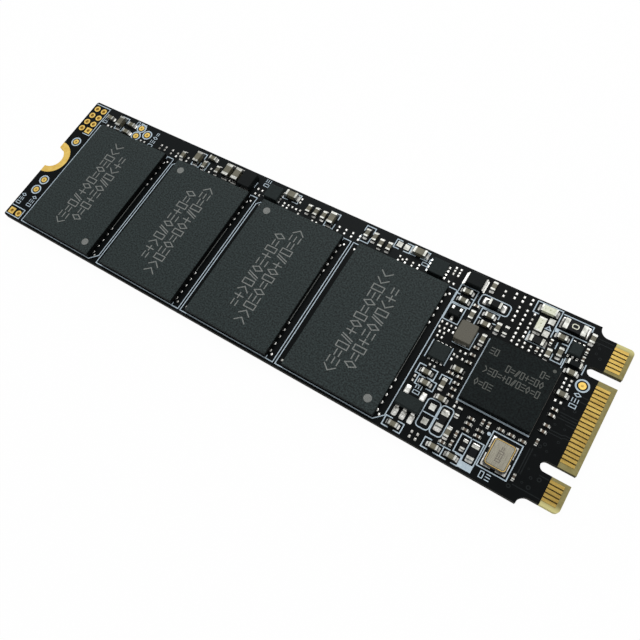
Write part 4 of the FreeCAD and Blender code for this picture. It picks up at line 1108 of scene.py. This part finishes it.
class DRIVE_OT_marks(bpy.types.Operator):
    """Mark the packages with plain signs and pin dots"""

    bl_idname = "drive.package_marks"
    bl_label = "Package marks"

    def execute(self, context):
        sizes = context.scene.drive_sizes
        self.memory_marks(sizes)
        self.controller_marks(sizes)
        return {"FINISHED"}

    def memory_marks(self, sizes):
        """Two rows of signs and a pin dot on each memory package."""
        cell = (sizes.sign_width, sizes.sign_height, sizes.sign_pitch)
        dots = []
        for number, (low, high) in enumerate(MEMORY_BOXES, start=1):
            middle = (low + high) / 2
            side = -1 if number in TURNED_MEMORIES else 1
            turn = -side * math.pi / 2
            rows = sign_runs(LONG_ROW, (middle.x + side * sizes.row_offset, middle.y), turn, *cell)
            rows += sign_runs(SHORT_ROW, (middle.x - side * sizes.row_offset, middle.y), turn, *cell)
            places = bars_along(rows, sizes.mark_line, sizes.ink_height, high.z)
            dress(stamp(bar_master(), f"memory_marks_{number}", places), "laser")
            corner = Vector((high.x, low.y)) if side < 0 else Vector((low.x, high.y))
            spot = corner + Vector((side, -side)) * sizes.dot_inset
            dots.append(disc(spot.x, spot.y, high.z - DIMPLE_DEPTH, sizes.dot_radius, DOT_HEIGHT))
        dress(stamp(dot_master(), "memory_pin_dots", dots), "laser")

    def controller_marks(self, sizes):
        """A pin dot and rows of faint signs on the controller."""
        inset = 0.6 * MM
        radius = 0.2 * MM
        line = 0.1 * MM
        cell = (0.36 * MM, 0.75 * MM, 0.53 * MM)
        corner = CONTROLLER_HIGH
        dot = disc(corner.x - inset, corner.y - inset, corner.z - DIMPLE_DEPTH, radius, DOT_HEIGHT)
        dress(stamp(dot_master(), "controller_pin_dot", [dot]), "faint_laser")
        middle = (CONTROLLER_LOW + CONTROLLER_HIGH) / 2
        runs = []
        for x, y, signs in CONTROLLER_ROWS:
            runs += sign_runs(signs, (middle.x + x * MM, middle.y + y * MM), math.pi, *cell)
        places = bars_along(runs, line, sizes.ink_height, corner.z)
        dress(stamp(bar_master(), "controller_marks", places), "faint_laser")


class DRIVE_OT_crystal(bpy.types.Operator):
    """Finish the crystal and lay the gold seam round its lid"""

    bl_idname = "drive.crystal"
    bl_label = "Crystal"

    def execute(self, context):
        paint(["crystal_base"], "crystal_ceramic")
        paint(["crystal_lid"], "lid")
        low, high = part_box("crystal_lid")
        middle = (low + high) / 2
        self.seam(low, high, middle)
        self.lid_marks(middle, high.z)
        return {"FINISHED"}

    def seam(self, low, high, middle):
        """The gold rim round the foot of the lid."""
        rim = 0.07 * MM
        corner = 0.36 * MM
        height = 0.1 * MM
        deselect()
        bpy.ops.mesh.primitive_plane_add(size=1.0, location=(middle.x, middle.y, low.z))
        seam = bpy.context.object
        seam.name = "crystal_seam"
        seam.scale = (high.x - low.x + 2 * rim, high.y - low.y + 2 * rim, 1.0)
        bpy.ops.object.transform_apply(location=True, rotation=True, scale=True)
        bpy.ops.object.mode_set(mode="EDIT")
        bpy.ops.mesh.bevel(offset=corner, segments=5, affect="VERTICES")
        dress(close_rim(rim, height), "seam")

    def lid_marks(self, middle, level):
        """Two short rows of signs on the lid."""
        row_gap = 0.45 * MM
        cell = (0.3 * MM, 0.5 * MM, 0.45 * MM)
        line = 0.1 * MM
        height = 0.006 * MM
        runs = []
        for signs, step in ((("pair", "frame"), row_gap), (("triple", "frame"), -row_gap)):
            runs += sign_runs(signs, (middle.x, middle.y + step), -math.pi / 2, *cell)
        dress(stamp(bar_master(), "crystal_marks", bars_along(runs, line, height, level)), "lid_mark")


class DRIVE_OT_stage(bpy.types.Operator):
    """Set the floor, the soft light and the camera"""

    bl_idname = "drive.stage"
    bl_label = "Stage"

    white = (1.0, 1.0, 1.0, 1.0)

    def execute(self, context):
        stage = context.scene.drive_stage
        context.scene.view_settings.view_transform = "Standard"
        self.floor()
        self.sky(context, stage)
        self.soft_box("key_light", place=(-0.06, 0.36, 0.42), size=0.4, power=stage.key_power)
        self.soft_box("fill_light", place=(0.25, -0.3, 0.3), size=0.35, power=stage.fill_power)
        deselect()
        bpy.ops.object.camera_add(location=stage.place, rotation=stage.turn)
        camera = context.object
        camera.name = "photo_camera"
        camera.data.sensor_width = 36.0
        camera.data.lens = stage.lens
        camera.data.shift_x, camera.data.shift_y = stage.shift
        camera.data.clip_start = 1.0 * MM
        context.scene.camera = camera
        return {"FINISHED"}

    def white_share(self, tree):
        """1 for rays that show the background itself: from the camera, a mirror or glass."""
        rays = add_node(tree, "LightPath").outputs
        seen = add_node(
            tree, "Math", {"operation": "MAXIMUM"},
            {0: rays["Is Camera Ray"], 1: rays["Is Glossy Ray"]},
        )
        return add_node(tree, "Math", {"operation": "MAXIMUM"}, {0: seen, 1: rays["Is Transmission Ray"]})

    def floor(self):
        """A pale floor that reads as white and keeps a soft shadow."""
        width = 6.0
        drop = 0.02 * MM
        glow_share = 0.97
        deselect()
        bpy.ops.mesh.primitive_plane_add(size=width, location=(0.0, 0.0, -drop))
        floor = bpy.context.object
        floor.name = "floor"
        material, tree = begin_finish("pale_floor")
        matt = add_node(tree, "BsdfDiffuse", {"Color": rgba("floor")})
        glow = add_node(tree, "Emission", {"Color": self.white, "Strength": 1.0})
        share = add_node(tree, "Math", {"operation": "MULTIPLY", 1: glow_share}, {0: self.white_share(tree)})
        mix = add_node(tree, "MixShader", {}, {0: share, 1: matt, 2: glow})
        add_node(tree, "OutputMaterial", {}, {"Surface": mix})
        floor.data.materials.append(material)

    def sky(self, context, stage):
        """Even light all round, white where the background is seen."""
        world = bpy.data.worlds.new("studio")
        world.use_nodes = True
        tree = world.node_tree
        tree.nodes.clear()
        strength = add_node(
            tree, "MapRange", {"To Min": stage.sky, "To Max": 1.0}, {"Value": self.white_share(tree)}
        )
        light = add_node(tree, "Background", {"Color": self.white}, {"Strength": strength})
        add_node(tree, "OutputWorld", {}, {"Surface": light})
        context.scene.world = world

    def soft_box(self, name, place, size, power):
        """A square soft light aimed at the card, placed and sized in metres."""
        deselect()
        bpy.ops.object.light_add(type="AREA", location=place)
        light = bpy.context.object
        light.name = name
        light.data.size = size
        light.data.energy = power
        light.rotation_euler = (-Vector(place)).to_track_quat("-Z", "Y").to_euler()


class DRIVE_PT_panel(bpy.types.Panel):
    """The drive's pieces, in the order that they are made"""

    bl_idname = "DRIVE_PT_panel"
    bl_label = "Gumstick drive"
    bl_space_type = "VIEW_3D"
    bl_region_type = "UI"
    bl_category = "Drive"

    def draw(self, context):
        for operator in OPERATORS:
            self.layout.operator(operator.bl_idname)


OPERATORS = (
    DRIVE_OT_card,
    DRIVE_OT_packages,
    DRIVE_OT_chips,
    DRIVE_OT_pads,
    DRIVE_OT_tracks,
    DRIVE_OT_print,
    DRIVE_OT_marks,
    DRIVE_OT_crystal,
    DRIVE_OT_stage,
)
GROUPS = {"drive_sizes": DriveSizes, "drive_colours": DriveColours, "drive_stage": DriveStage}
CLASSES = (*GROUPS.values(), *OPERATORS, DRIVE_PT_panel)


def register():
    for cls in CLASSES:
        bpy.utils.register_class(cls)
    for name, group in GROUPS.items():
        setattr(bpy.types.Scene, name, bpy.props.PointerProperty(type=group))


def unregister():
    for name in GROUPS:
        delattr(bpy.types.Scene, name)
    for cls in reversed(CLASSES):
        bpy.utils.unregister_class(cls)


def main():
    """Make every piece in order."""
    register()
    bpy.ops.drive.card()
    bpy.ops.drive.packages()
    bpy.ops.drive.chips()
    bpy.ops.drive.pads()
    bpy.ops.drive.tracks()
    bpy.ops.drive.print_card()
    bpy.ops.drive.package_marks()
    bpy.ops.drive.crystal()
    bpy.ops.drive.stage()


if __name__ == "__main__":
    main()
